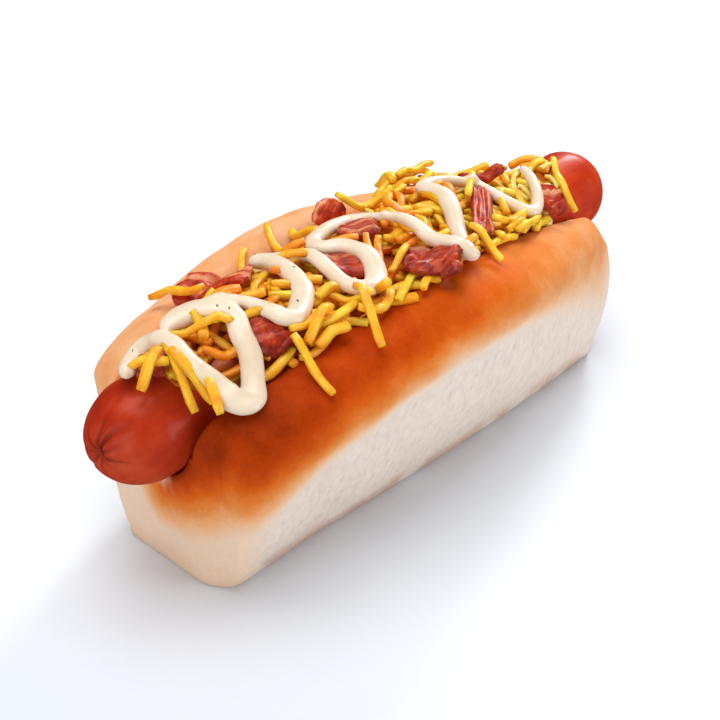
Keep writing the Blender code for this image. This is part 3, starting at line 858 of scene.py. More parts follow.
    def browning(self, point: Vector) -> float:
        """How brown the bread is baked at a place, from 0 on the torn wall to 1 where it is darkest."""
        bake, x = self.bake, point.x / MM
        above = (point.z - self.crust_edge(point)) / MM + lumps(point, 12, 1.1) + lumps(point, 3, 0.4)
        fullest = bake.near_brown
        for paling, start, end in (bake.first_pale, bake.second_pale):
            fullest -= paling * ease(x, start, end)
        # The far half is kept paler: partly its bake, and partly painted light for the sheen on its lip.
        far_side = ease(point.y / MM, *bake.far_from)
        fullest += (bake.far_brown_and_sheen + lumps(point, 15, 0.1) - fullest) * far_side
        share = min(max(above * MM / self.crust_span(point), 0.0), 1.0)
        rise = bake.fringe * ease(above, -bake.fringe_height, 0.0)
        rise += (1 - bake.fringe) * (share + smooth_step(share)) / 2
        tint, start, end = bake.near_end_tint
        return max(fullest * rise, tint * ease(-x, start, end))

    def relief(self, point: Vector, brown: float) -> float:
        """How far the surface stands out or in at a place, in metres."""
        soft = lumps(point, 10, 0.35) + lumps(point, 4, 0.12)
        fibres = Vector((point.x / 2.6, point.y / 2.6, point.z / 6)) / MM
        torn = 0.15 * noise.noise(fibres) + lumps(point, 6, 0.3) + lumps(point, 1.5, 0.08)
        share = ease(brown, 0.0, 0.3)
        return (soft * share + (torn - 0.35) * (1 - share)) * MM

    def build(self, finish: Finish) -> bpy.types.Object:
        """Makes the bun with its relief and its marks for the finish, in its node's place."""
        bm = gridded_cube(self.cuts)
        sections: dict[tuple[float, bool], BunSection] = {}
        cubes = [vert.co.copy() for vert in bm.verts]
        for vert in bm.verts:
            vert.co = self.place(vert.co, sections)
        corners = [
            vert
            for vert, cube in zip(bm.verts, cubes)
            if abs(cube.x) > 0.9 and cube.z < 0.9 and vert.co.z > 1 * MM
        ]
        for _ in range(self.corner_smoothing):
            bmesh.ops.smooth_vert(bm, verts=corners, factor=0.5, use_axis_x=True, use_axis_y=True, use_axis_z=True)
        bmesh.ops.recalc_face_normals(bm, faces=bm.faces)
        bm.normal_update()
        browns, crumbs, stains = [], [], []
        for vert, cube in zip(bm.verts, cubes):
            point, normal = vert.co.copy(), vert.normal.copy()
            brown = self.browning(point)
            if point.z > 1.2 * MM:
                bare = ease(abs(cube.y), 0.88, 1.0) if cube.z > 0.999 else 1.0
                vert.co = point + normal * self.relief(point, brown) * bare
            browns.append(brown)
            torn = ease((cube.z + 1) / 2 + lumps(point, 3, 0.1), 0.86, 0.96)
            crumbs.append(torn * ease(-abs(cube.y), -0.2, -0.1))
            low = ease(-point.z / MM, -9, -2)
            stains.append(0.6 * low * smooth_step(0.5 + lumps(point, 9, 1.6)))
        piece = finished("split_bun", bm, finish.make())
        for name, values in (("browning", browns), ("crumb", crumbs), ("stain", stains)):
            mark(piece.data, name, values)
        settle(piece, "bread", "bun")
        return piece

    def lip_top(self, x: float, y: float) -> float:
        """Height of the lips over (x, y), and the base plane where there is none."""
        reach = self.end_bulge[0] if x < 0 else 0.0
        if abs(x) > self.half_length + reach:
            return 0.0
        section = BunSection(self, x - math.copysign(reach * self.end_share(x), x), y > 0)
        half = section.outer - section.crest if abs(y) > section.crest else section.crest - section.inner
        share = (abs(y) - section.crest) / half
        if abs(share) >= 1:
            return 0.0
        power = section.shoulder if share > 0 else 1.0
        height = section.top + self.unevenness - section.equator
        return section.equator + height * (1 - abs(share) ** (2 / power)) ** (power / 2)


class HeightMap:
    """Heights of what lies on the hot dog, on a square grid, which each new piece is laid on and then adds to."""

    def __init__(self, low: tuple[float, float], high: tuple[float, float], cell: float) -> None:
        """Starts with the base plane.

        Args:
            low: lowest x and y of the grid.
            high: highest x and y of the grid.
            cell: distance between two grid points.
        """
        self.low, self.cell = low, cell
        self.shape = tuple(int(round((h - l) / cell)) + 1 for l, h in zip(low, high))
        self.heights = np.zeros(self.shape)

    def fill(self, height: Callable[[float, float], float]) -> None:
        """Raises every grid point to at least a height function."""
        for i in range(self.shape[0]):
            for j in range(self.shape[1]):
                value = height(self.low[0] + i * self.cell, self.low[1] + j * self.cell)
                self.heights[i, j] = max(self.heights[i, j], value)

    def window(self, x: float, y: float, reach: float) -> tuple[slice, slice, np.ndarray]:
        """The grid points round a place.

        Args:
            x: place along the hot dog.
            y: place across it.
            reach: radius of the round patch.

        Returns:
            The rows and columns of the patch, and which of its points are inside the circle.
        """
        i, j = (x - self.low[0]) / self.cell, (y - self.low[1]) / self.cell
        r = reach / self.cell
        rows = slice(max(int(i - r), 0), min(int(i + r) + 2, self.shape[0]))
        cols = slice(max(int(j - r), 0), min(int(j + r) + 2, self.shape[1]))
        di = np.arange(rows.start, rows.stop)[:, None] - i
        dj = np.arange(cols.start, cols.stop)[None, :] - j
        return rows, cols, di * di + dj * dj <= max(r * r, 0.6)

    def patch(self, x: float, y: float, reach: float) -> np.ndarray:
        """The heights within a radius of a place, and the base plane's where the grid has none."""
        rows, cols, inside = self.window(x, y, reach)
        found = self.heights[rows, cols][inside]
        return found if found.size else np.zeros(1)

    def highest(self, x: float, y: float, reach: float) -> float:
        """The highest point within a radius of a place."""
        return float(self.patch(x, y, reach).max())

    def average(self, x: float, y: float, reach: float) -> float:
        """The mean height within a radius of a place."""
        return float(self.patch(x, y, reach).mean())

    def raise_to(self, x: float, y: float, reach: float, height: float) -> None:
        """Raises a round patch to a height, where it is lower."""
        rows, cols, inside = self.window(x, y, reach)
        square = self.heights[rows, cols]
        square[inside] = np.maximum(square[inside], height)


class Cut(Enum):
    """The kinds of shred that the cheese is grated into, each with its share of the pile."""

    ORANGE = "orange_shreds"
    YELLOW = "yellow_shreds"
    LEMON = "lemon_shreds"
    FINE = "fine_strands"


@dataclass
class Shred:
    """One shred of cheese: where its middle lies, which way it runs, and its sizes."""

    x: float
    y: float
    heading: float
    length: float
    bend: float
    width: float
    cut: Cut
    lift: float
    line: list[Vector] = field(default_factory=list)


@dataclass
class Heap:
    """The heap of grated cheese: a packed core with loose shreds laid over it one by one."""

    bun: Bun
    centre_x: float = -2 * MM
    half_length: float = 78 * MM
    half_width: float = 25 * MM
    end_half_width: float = 4 * MM
    far_share: float = 0.64
    wide_from: tuple[float, float] = (8 * MM, 34 * MM)
    crest: tuple[float, float] = (2.5 * MM, 4.5 * MM)
    # Shares of the half length over which the crest rises at the near end and falls towards the far one.
    crest_rise: float = 0.3
    crest_fall_from: float = 0.85
    crest_fall: float = 0.8
    shoulder_drop: float = 8 * MM
    skirt: float = 2.4 * MM
    crevice_floor: float = 8.5 * MM
    topping_gap: float = 0.9 * MM
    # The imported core: how far it lies below the loose shreds, and how far inside the heap's outline.
    core_depth: float = 3.2 * MM
    core_inset: tuple[float, float] = (3 * MM, 2.5 * MM)
    core_cuts: tuple[int, int, int] = (110, 44, 2)
    shred_count: int = 900
    shred_tries: int = 12
    shred_steps: int = 8
    seed: int = 11

    def ground(self, x: float, y: float) -> float:
        """Height of what the toppings lie on: the sausage, the lips, and the shut crevice between them."""
        sausage = self.bun.sausage
        crevice = sausage.height + self.crevice_floor - max(abs(y) - sausage.near_radius, 0.0)
        shut = crevice if abs(x) < self.bun.half_length else 0.0
        return max(sausage.top(x, y), self.bun.lip_top(x, y), shut)

    def width_at(self, x: float, y: float) -> float:
        """Half width of the heap at x, on the side that y is on: less on the far side, up to its far end."""
        share = min(abs((x - self.centre_x) / self.half_length), 1.0)
        width = self.end_half_width + (self.half_width - self.end_half_width) * (1 - share**2.4) ** 0.7
        if y <= 0:
            return width
        return width * (self.far_share + (1 - self.far_share) * ease(x, *self.wide_from))

    def top(self, x: float, y: float) -> float:
        """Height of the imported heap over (x, y)."""
        across = min(abs(y) / self.width_at(x, y), 1.0)
        share = (x - self.centre_x) / self.half_length
        full = smooth_step((share + 1) / self.crest_rise)
        full *= smooth_step((self.crest_fall_from - share) / self.crest_fall)
        crest = self.bun.sausage.height + self.bun.sausage.radius(x) + self.crest[0] + self.crest[1] * full
        return max(crest - self.shoulder_drop * across**2.2, self.ground(x, y) + self.skirt)

    def surface(self, x: float, y: float) -> float:
        """Height that a topping lies at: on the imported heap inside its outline, and on the bun outside it."""
        inside = abs(x - self.centre_x) < self.half_length and abs(y) < self.width_at(x, y)
        return self.top(x, y) if inside else self.ground(x, y) + self.topping_gap

    def core_top(self, x: float, y: float) -> float:
        """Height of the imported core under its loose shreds."""
        uneven = lumps(Vector((x, y, 0.0)), 3.5, 0.9 * MM)
        return max(self.top(x, y) - self.core_depth + uneven, self.ground(x, y) + 0.5 * MM)

    def build_core(self, finish: Finish) -> bpy.types.Object:
        """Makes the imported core, whose underside follows the sausage and the lips."""
        bm = gridded_cube(self.core_cuts)
        for vert in bm.verts:
            x = self.centre_x + (self.half_length - self.core_inset[0]) * vert.co.x
            y = (self.width_at(x, vert.co.y) - self.core_inset[1]) * vert.co.y
            low, high = self.ground(x, y) + 0.1 * MM, self.core_top(x, y)
            vert.co = (x, y, low + (high - low) * (vert.co.z + 1) / 2)
        piece = finished("packed_cheese", bm, finish.make())
        settle(piece, "cheese")
        return piece

    def plan_line(self, shred: Shred) -> list[Vector]:
        """Centreline of a shred as seen from above."""
        step = shred.length / self.shred_steps
        line = [Vector((0.0, 0.0, 0.0))]
        for i in range(self.shred_steps):
            angle = shred.heading + shred.bend * ((i + 0.5) / self.shred_steps - 0.5)
            line.append(line[-1] + Vector((math.cos(angle), math.sin(angle), 0.0)) * step)
        offset = Vector((shred.x, shred.y, 0.0)) - line[self.shred_steps // 2]
        return [point + offset for point in line]

    def lay(self, shred: Shred, heights: HeightMap, droop: float) -> None:
        """Lays a shred on what is there: it bridges hollows and bends over edges as far as it can.

        Args:
            shred: the shred, whose line this sets.
            heights: what it is laid on.
            droop: how steeply it may bend down.
        """
        line = self.plan_line(shred)
        half = shred.width / 2
        step = shred.length / self.shred_steps
        under = [heights.highest(p.x, p.y, half * 0.8) for p in line]
        drops = [droop * step * away * (0.5 + 0.12 * away) for away in range(len(line))]
        rest = [max(under[j] - drops[abs(i - j)] for j in range(len(line))) for i in range(len(line))]
        for _ in range(2):
            padded = [rest[0], *rest, rest[-1]]
            rest = [(a + 2 * b + c) / 4 for a, b, c in zip(padded, padded[1:], padded[2:])]
        for i, point in enumerate(line):
            rise = shred.lift * (i / self.shred_steps) ** 2
            point.z = max(rest[i], under[i] - 0.25 * MM) + half * 0.84 + rise
        shred.line = line

    def press_in(self, shred: Shred, heights: HeightMap) -> None:
        """Adds a laid shred to the heights."""
        for a, b in zip(shred.line, shred.line[1:]):
            for t in (0.0, 0.5):
                p = a.lerp(b, t)
                heights.raise_to(p.x, p.y, shred.width / 2, p.z + shred.width * 0.36)

    def build_shreds(self, name: str, shreds: list[Shred], finish: Finish) -> bpy.types.Object:
        """Makes all shreds of one kind as one piece.

        Args:
            name: the piece's name.
            shreds: shreds that are laid already.
            finish: their finish.

        Returns:
            The piece.
        """
        pattern = gridded_cube((self.shred_steps, 2, 2))
        for vert in pattern.verts:
            ring = Vector((vert.co.y, vert.co.z))
            if ring.length > 0.5:
                ring /= (abs(ring.x) ** 4 + abs(ring.y) ** 4) ** 0.25
                if abs(ring.x) > 0.5 and abs(ring.y) > 0.5:
                    ring *= 1.02
            vert.co.y, vert.co.z = ring
        mould = bpy.data.meshes.new("shred_pattern")
        pattern.to_mesh(mould)
        pattern.free()
        bm = bmesh.new()
        for index, shred in enumerate(shreds):
            known = len(bm.verts)
            bm.from_mesh(mould)
            bm.verts.ensure_lookup_table()
            self.shape_shred(bm.verts[known:], shred, index)
        bpy.data.meshes.remove(mould)
        return finished(name, bm, finish.make())

    def shape_shred(self, verts: list[bmesh.types.BMVert], shred: Shred, index: int) -> None:
        """Bends one straight pattern along its shred's line.

        Args:
            verts: the pattern's vertices, along x.
            shred: the shred that they become.
            index: number of the shred, for its own unevenness.
        """
        steps = self.shred_steps
        line = shred.line
        wobble = Vector((index * 1.7, 0.0, 0.0))
        for vert in verts:
            i = round((vert.co.x + 1) / 2 * steps)
            ahead = (line[min(i + 1, steps)] - line[max(i - 1, 0)]).normalized()
            side = Vector((-ahead.y, ahead.x, 0.0)).normalized()
            up = side.cross(ahead) * -1
            up = -up if up.z < 0 else up
            twist = 0.5 * noise.noise(wobble) + 0.35 * (i / steps - 0.5)
            ring = Vector((vert.co.y, vert.co.z * 0.84))
            ring.rotate(Matrix.Rotation(twist, 2))
            size = shred.width / 2 * (1 + 0.14 * noise.noise(wobble + Vector((0.0, i * 0.6, 3.0))))
            end = abs(i - steps / 2) / (steps / 2)
            if end > 0.99:
                size *= 0.86
            vert.co = line[i] + side * ring.x * size + up * ring.y * size


@dataclass
class SauceRibbon:
    """The thick sauce, poured in a zigzag over the whole length: x and y of its middle in mm over the heap."""

    width: float = 5.9 * MM
    thickness: float = 3.9 * MM
    bridge: int = 6
    path: tuple[tuple[float, float, float], ...] = (
        (-86, 1, 0.65), (-82, 5, 0.9), (-77, 7, 0.95), (-74, 5, 1.05), (-74, -1, 0.95), (-75, -6, 0.95),
        (-75, -10, 1.05), (-73, -14, 1.15), (-72, -18, 1.3), (-70, -21, 1.35), (-67, -21, 1.2), (-64, -18, 1.05),
        (-61, -14, 1.05), (-60, -10, 1.05), (-58, -6, 1.0), (-58, -3, 1.05), (-60, 0, 1.1), (-62, 3, 1.2),
        (-66, 5, 1.2), (-69, 5, 0.8), (-62, 3, 0.7), (-56, 1, 0.6), (-52, -4, 0.7), (-51, -10, 0.85),
        (-50, -14, 0.95), (-47, -15, 1.05), (-42, -12, 1.1), (-37, -8, 1.05), (-34, -2, 1.0), (-33, 4, 1.0),
        (-33, 9, 0.95), (-34, 11, 0.85), (-29, 10, 0.75), (-26, 7, 0.7), (-25, 2, 0.75), (-26, -3, 0.8),
        (-27, -8, 0.8), (-28, -14, 0.85), (-26, -18, 0.95), (-22, -18, 1.05), (-18, -15, 1.05), (-15, -10, 1.0),
        (-15, -5, 0.9), (-16, -1, 0.95), (-19, 2, 0.9), (-19, 6, 0.85), (-14, 8, 0.8), (-8, 9, 0.8), (-2, 9, 0.75),
        (1, 6, 0.7), (2, 2, 0.55), (3, -1, 0.5), (4, -4, 0.6), (5, -9, 0.75), (4, -15, 0.85), (4, -21, 0.85),
        (5, -25, 0.85), (7, -26, 0.75), (11, -20, 0.8), (16, -14, 0.85), (21, -8, 0.95), (25, -2, 1.05),
        (26, 3, 1.05), (26, 7, 0.8), (30, 8, 0.7), (35, 7, 0.6), (39, 4, 0.6), (42, 1, 0.6), (42, -4, 0.6),
        (42, -9, 0.7), (44, -13, 0.75), (47, -16, 0.75), (52, -14, 0.65), (57, -9, 0.6), (61, -4, 0.6), (63, 0, 0.5),
    )
    step: float = 0.7 * MM
    # How much of the highest point and of the mean height under it the sauce rests at, and how far it may sag.
    rest_shares: tuple[float, float] = (0.55, 0.45)
    sag: float = 1.2 * MM
    # Its half thickness is this share at no width, and this much more at full width.
    tall_shares: tuple[float, float] = (0.55, 0.45)
    voxel: float = 0.5 * MM
    smoothing: int = 8

    def samples(self) -> Iterator[tuple[Vector, float]]:
        """Points along the ribbon, close together, each with its share of the full width."""
        knots = [Vector((x * MM, y * MM, share)) for x, y, share in self.path]
        padded = [2 * knots[0] - knots[1], *knots, 2 * knots[-1] - knots[-2]]
        for a, b, c, d in zip(padded, padded[1:], padded[2:], padded[3:]):
            count = max(int((b.xy - c.xy).length / self.step), 2)
            for k in range(count):
                t = k / count
                weights = (-t + 2 * t**2 - t**3, 2 - 5 * t**2 + 3 * t**3, t + 4 * t**2 - 3 * t**3, t**3 - t**2)
                mixed = sum((w * p for w, p in zip(weights, (a, b, c, d))), Vector((0.0, 0.0, 0.0))) / 2
                yield Vector((mixed.x, mixed.y, 0.0)), mixed.z

    def build(self, heights: HeightMap, finish: Finish) -> bpy.types.Object:
        """Pours the ribbon over the heap.

        Args:
            heights: what it is poured on.
            finish: the sauce's finish.

        Returns:
            The ribbon.
        """
        samples = list(self.samples())
        rests = []
        for point, share in samples:
            half = self.width * share / 2
            high = heights.highest(point.x, point.y, half * 0.7)
            mean = heights.average(point.x, point.y, half)
            rests.append(self.rest_shares[0] * high + self.rest_shares[1] * mean)
        smooth = rests
        for _ in range(2):
            spans = [smooth[max(i - self.bridge, 0) : i + self.bridge + 1] for i in range(len(smooth))]
            smooth = [sum(span) / len(span) for span in spans]
        bm = bmesh.new()
        for i, (point, share) in enumerate(samples):
            half = self.width * share / 2
            tall = self.thickness / 2 * (self.tall_shares[0] + self.tall_shares[1] * share)
            centre = Vector((point.x, point.y, max(smooth[i], rests[i] - self.sag) + tall * 0.45))
            scale = Matrix.Diagonal((half, half, tall, 1.0))
            bmesh.ops.create_icosphere(bm, subdivisions=2, radius=1, matrix=Matrix.Translation(centre) @ scale)
        rough = finished("sauce_ribbon", bm, finish.make())
        remesh = rough.modifiers.new("pour", "REMESH")
        remesh.mode = "VOXEL"
        remesh.voxel_size = self.voxel
        smoothing = rough.modifiers.new("settle", "SMOOTH")
        smoothing.factor = 0.5
        smoothing.iterations = self.smoothing
        graph = bpy.context.evaluated_depsgraph_get()
        mesh = bpy.data.meshes.new_from_object(rough.evaluated_get(graph))
        rough.modifiers.clear()
        old, rough.data = rough.data, mesh
        bpy.data.meshes.remove(old)
        mesh.name = "sauce_ribbon"
        mesh.shade_smooth()
        settle(rough, "cheese")
        return rough


@dataclass
class BaconPiece:
    """One fried piece of bacon: a thin wavy slab that follows the heap, with its far end curled up."""

    node: str
    x: float
    y: float
    heading: float
    length: float
    width: float
    curl: float
    fat_bands: tuple[float, ...] = (-0.55, 0.5)
    char: float = 0.3
    thickness: float = 2.2 * MM
    wave: float = 0.5 * MM
    lift: float = 0.9 * MM
    stiff_reach: float = 2.5 * MM
    # Finer unevenness: ragged edges as shares of the half sizes, and wrinkles and lumps on the faces.
    ragged: tuple[float, float] = (0.14, 0.16)
    wrinkle: float = 0.3 * MM
    lump: float = 0.45 * MM
    cuts_per_mm: tuple[float, float] = (2.0, 2.4)
    fewest_cuts: int = 14
    darkest_char: float = 0.85

    def covers(self, x: float, y: float, margin: float) -> bool:
        """Whether a place, seen from above, is on the piece or within a margin of it."""
        heading = math.radians(self.heading)
        dx, dy = x - self.x * MM, y - self.y * MM
        u = dx * math.cos(heading) + dy * math.sin(heading)
        v = dy * math.cos(heading) - dx * math.sin(heading)
        return abs(u) < self.length * MM / 2 + margin and abs(v) < self.width * MM / 2 + margin

    def underside(self, heap: Heap, x: float, y: float) -> float:
        """Height that the piece rests at over (x, y)."""
        r = self.stiff_reach
        around = ((0.0, 0.0), (r, 0.0), (-r, 0.0), (0.0, r), (0.0, -r))
        return max(heap.surface(x + dx, y + dy) for dx, dy in around) + self.lift

    def place(self, co: Vector, heap: Heap) -> Vector:
        """Where a point of the cube from -1 to 1 lands on the piece."""
        heading = math.radians(self.heading)
        phase = 0.1 * self.x
        seed = Vector((self.x * 0.37, self.y * 0.21, 0.0))
        ragged_v = 1 + self.ragged[1] * noise.noise(seed + Vector((co.x * 1.6, math.copysign(2.0, co.y), 0.0)))
        ragged_u = 1 + self.ragged[0] * noise.noise(seed + Vector((math.copysign(3.0, co.x), co.y * 1.9, 5.0)))
        corner = 1 - 0.12 * (abs(co.x) * abs(co.y)) ** 4
        u = co.x * self.length * MM / 2 * ragged_u * corner
        v = co.y * self.width * MM / 2 * ragged_v * corner
        u *= 1 - 0.12 * co.y**2 * math.sin(phase)
        px = self.x * MM + u * math.cos(heading) - v * math.sin(heading)
        py = self.y * MM + u * math.sin(heading) + v * math.cos(heading)
        wave = self.wave * (1 + math.sin(phase + 3.2 * co.x + 1.4 * co.y))
        folds = math.sin(9 * co.y + 2.2 * noise.noise(seed + co * 1.3)) * (1 - 0.4 * abs(co.y))
        wrinkle = self.wrinkle * folds + self.lump * noise.noise(seed + co * 2.6)
        rise = self.curl * MM * ease(co.x, 0.1, 1.0)
        thick = self.thickness * (0.9 - 0.35 * ease(max(abs(co.x), abs(co.y)), 0.75, 1.0))
        z = self.underside(heap, px, py) + wave + wrinkle + rise + thick * (co.z + 1) / 2
        return Vector((px, py, z))

    def build(self, heap: Heap, finish: bpy.types.Material) -> bpy.types.Object:
        """Makes the piece with its marks of fat and char, in its node's place.

        Args:
            heap: the heap that it lies on.
            finish: the bacon's material.

        Returns:
            The piece.
        """
        sizes = zip((self.length, self.width), self.cuts_per_mm)
        long_cuts, wide_cuts = (max(int(size * cuts), self.fewest_cuts) for size, cuts in sizes)
        bm = gridded_cube((long_cuts, wide_cuts, 3))
        fats, chars = [], []
        for vert in bm.verts:
            co = vert.co.copy()
            vert.co = self.place(co, heap)
            drift = 0.3 * noise.noise(Vector((co.x * 1.2 + self.x, self.y, 0.0)))
            near = min((abs(co.y + drift - band) for band in self.fat_bands), default=1.0)
            fats.append(1 - ease(near, 0.05, 0.21))
            burnt = 0.6 * ease(max(abs(co.x), abs(co.y)), 0.7, 1.0) + noise.noise(co * 1.8 + vert.co / MM)
            chars.append(min(max(self.char * (0.5 + burnt), 0.0), self.darkest_char))
        piece = finished(self.node + "_fried", bm, finish)
        mark(piece.data, "fat", fats)
        mark(piece.data, "char", chars)
        settle(piece, "bacon", self.node)
        return piece

    def press_in(self, piece: bpy.types.Object, heights: HeightMap) -> None:
        """Adds the made piece to the heights."""
        for vert in piece.data.vertices:
            heights.raise_to(vert.co.x, vert.co.y, 0.5 * MM, vert.co.z)


@dataclass
class Toppings:
    """Everything that lies on the sausage: cheese, bacon, sauce and herbs, laid in that order."""

    heap: Heap
    bacon: tuple[BaconPiece, ...] = (
        BaconPiece("bacon_near_end", -80, -1, -48, 7, 6, 0.3),
        BaconPiece("bacon_rim_left", -47, 14, -60, 20, 12, 1.5, (-0.1, 0.6), 0.0),
        BaconPiece("bacon_near_loop", -53, -14, -25, 12, 9, 0.8, (), 0.5),
        BaconPiece("bacon_mid", -21, -6, -36, 13, 10, 0.5, (0.5,), 0.4),
        BaconPiece("bacon_mid_back", -5, 3, -45, 11, 8, 0.5),
        BaconPiece("bacon_dome_left", 0, 18, 20, 10, 7, 0.8, (0.7,), 0.05),
        BaconPiece("bacon_near_rim", -3, -21, -52, 15, 15, 1.5, (0.85,), 0.4),
        BaconPiece("bacon_strip", 30, -11, 40, 26, 6, 0.8, (-0.8,), 0.3),
        BaconPiece("bacon_curl", 47, 3, -40, 12, 4, 3.0, (), 0.3),
        BaconPiece("bacon_far_end", 58, -14, -30, 9, 9, 0.5, (0.2,), 0.2),
    )
    # Long shreds that stand out: x, y, heading in degrees, length in mm and bend in degrees.
    long_shreds: tuple[tuple[float, float, float, float, float], ...] = (
        (-82, -2, -47, 10, 0), (-83, -4, 20, 9, 10), (-78, -7, -106, 17, 15), (-77, -11, -80, 12, 15),
        (-75, -15, -111, 13, 0), (-66, -3, -33, 15, 0), (-54, -8, -32, 10, 0), (-54, 20, -81, 17, 10),
        (-33, 18, -128, 17, 40), (-19, 20, -110, 18, 50), (-14, 14, -94, 16, 70), (-52, -26, -93, 14, 0),
        (-46, -18, -5, 10, 0), (-44, -20, 13, 11, 0), (-37, -17, -19, 10, 0), (-32, -25, -115, 17, 8),
        (-30, -13, 0, 14, 0), (-8, -14, -158, 12, 0), (4, -5, -91, 12, 0), (12, 16, -31, 16, 0),
        (18, -22, -96, 12, 0), (30, 24, 60, 14, 0), (35, -17, 2, 15, 0), (38, 20, 7, 18, 0),
        (37, -1, -146, 15, 0), (57, 15, -48, 12, 0), (71, -8, -122, 20, 40),
    )
    shred_width: float = 2.15 * MM
    pile_rise: float = 2.2 * MM
    # How steeply a loose shred and a long one may bend down, and x in mm between which the pile flattens.
    loose_droop: float = 0.7
    long_droop: float = 1.1
    flat_from: tuple[float, float] = (35.0, 55.0)
    # X in mm over which the pale and fine shreds come in, partly the cheese's own mix and partly painted light
    # towards the lit far end, and where shreds spill over the near lip.
    pale_and_lit_from: tuple[float, float] = (20.0, 70.0)
    spill_between: tuple[float, float] = (-62 * MM, -4 * MM)
    heights: HeightMap = field(init=False)

    def __post_init__(self) -> None:
        """Makes the map of what the toppings lie on."""
        self.heights = HeightMap((-105 * MM, -45 * MM), (105 * MM, 45 * MM), 0.5 * MM)

    def under_bacon(self, shred: Shred) -> bool:
        """Whether a laid shred keeps below every bacon piece that it passes."""
        for point in shred.line[::2]:
            for slab in self.bacon:
                if slab.covers(point.x, point.y, shred.width / 2 + 0.4 * MM):
                    if point.z + shred.width * 0.4 > slab.underside(self.heap, point.x, point.y) + 0.2 * MM:
                        return False
        return True

    def scattered(self) -> Iterator[Shred]:
        """The loose shreds that fill the heap, drawn by a seeded rule and laid one on another."""
        heap = self.heap
        rng = random.Random(heap.seed)
        for _ in range(heap.shred_count):
            for _ in range(heap.shred_tries):
                x = heap.centre_x + heap.half_length * rng.uniform(-0.98, 0.97)
                across = rng.uniform(-1.05, 1.0)
                y = heap.width_at(x, across) * across
                flat = 1 - ease(x / MM, *self.flat_from)
                # More pale and fine shreds towards the far end and the back side: partly the cheese's own mix,
                # partly painted light where the light falls on the pile.
                back = ease(x / MM, *self.pale_and_lit_from) + 0.3 * ease(y / MM, 0, 15)
                draw = rng.random()
                if draw < 0.25 * back:
                    cut, width = Cut.FINE, rng.uniform(1.3, 1.7) * MM
                elif draw < 0.2 + 0.55 * back:
                    cut, width = Cut.LEMON, rng.uniform(1.8, 2.4) * MM
                else:
                    cut = Cut.YELLOW if rng.random() < 0.6 else Cut.ORANGE
                    width = rng.uniform(1.9, 2.6) * MM
                bend = math.radians(rng.gauss(0, 130 if cut is Cut.FINE else 35))
                lift = rng.choice((0.0, 0.0, 0.0, 1.5, 3.0)) * MM * flat
                length = rng.uniform(8, 18) * MM
                shred = Shred(x, y, rng.uniform(0, math.tau), length, bend, width, cut, lift)
                heap.lay(shred, self.heights, self.loose_droop)
                high = max(p.z - heap.surface(p.x, p.y) for p in shred.line)
                spill = 1.1 if self.spill_between[0] < x < self.spill_between[1] else 0.98
                within = all(-spill < p.y / heap.width_at(p.x, p.y) < 1.05 for p in shred.line)
                low = high < self.pile_rise * (0.45 + 0.55 * flat) + lift
                if within and low and self.under_bacon(shred):
                    heap.press_in(shred, self.heights)
                    yield shred
                    break

    def standing_out(self) -> Iterator[Shred]:
        """The long shreds that show on top."""
        for index, (x, y, heading, length, bend) in enumerate(self.long_shreds):
            # The long shreds on the far half are pale: partly the cheese's own mix, partly painted light.
            cut = Cut.LEMON if x > 0 else Cut.YELLOW
            width = self.shred_width * (1 + 0.1 * math.sin(index * 2.1))
            turns = math.radians(heading), math.radians(bend)
            shred = Shred(x * MM, y * MM, turns[0], length * MM, turns[1], width, cut, 0.6 * MM)
            self.heap.lay(shred, self.heights, self.long_droop)
            self.heap.press_in(shred, self.heights)
            yield shred

    def build(self, bun: bpy.types.Object, sausage: bpy.types.Object) -> None:
        """Makes and lays all toppings.

        Args:
            bun: the made bun.
            sausage: the made sausage.
        """
        # Painted shade: the core is coloured dark orange-brown so that the gaps between the loose shreds look
        # shaded.
        core = self.heap.build_core(GratedCheese("core_cheddar_painted_shade", "#A84206", "#E6800E"))
        self.land_on(bun, sausage, core)
        shreds = list(self.scattered())
        finish = FriedBacon("fried_bacon").make()
        for slab in self.bacon:
            slab.press_in(slab.build(self.heap, finish), self.heights)
        shreds += list(self.standing_out())
        finishes = {
            Cut.ORANGE: GratedCheese("orange_cheddar", "#F07D06", "#FCA21C"),
            Cut.YELLOW: GratedCheese("yellow_cheddar", "#FBA40E", "#FFC42C"),
            Cut.LEMON: GratedCheese("pale_cheddar", "#FFB61C", "#FFD83C"),
            Cut.FINE: GratedCheese("fine_cheddar", "#FFC840", "#FFE988"),
        }
        for cut, cheese in finishes.items():
            own = [shred for shred in shreds if shred.cut is cut]
            piece = self.heap.build_shreds(cut.value, own, cheese)
            nodes = ("cheese_and_sauce",) if cut is Cut.YELLOW else ()
            settle(piece, "cheese", *nodes)
        sauce = SauceRibbon().build(self.heights, CreamySauce("creamy_sauce"))
        HerbFlecks().build(sauce, DriedHerb("dried_herb"))

    def land_on(self, *pieces: bpy.types.Object) -> None:
        """Sets the heights to those of the pieces, seen from above."""
        trees = []
        for piece in pieces:
            bm = bmesh.new()
            bm.from_mesh(piece.data)
            trees.append(BVHTree.FromBMesh(bm))
            bm.free()

        def seen(x: float, y: float) -> float:
            """The highest hit of a ray straight down."""
            hits = [tree.ray_cast(Vector((x, y, HIGH_UP)), DOWN)[0] for tree in trees]
            return max((hit.z for hit in hits if hit is not None), default=0.0)

        self.heights.fill(seen)


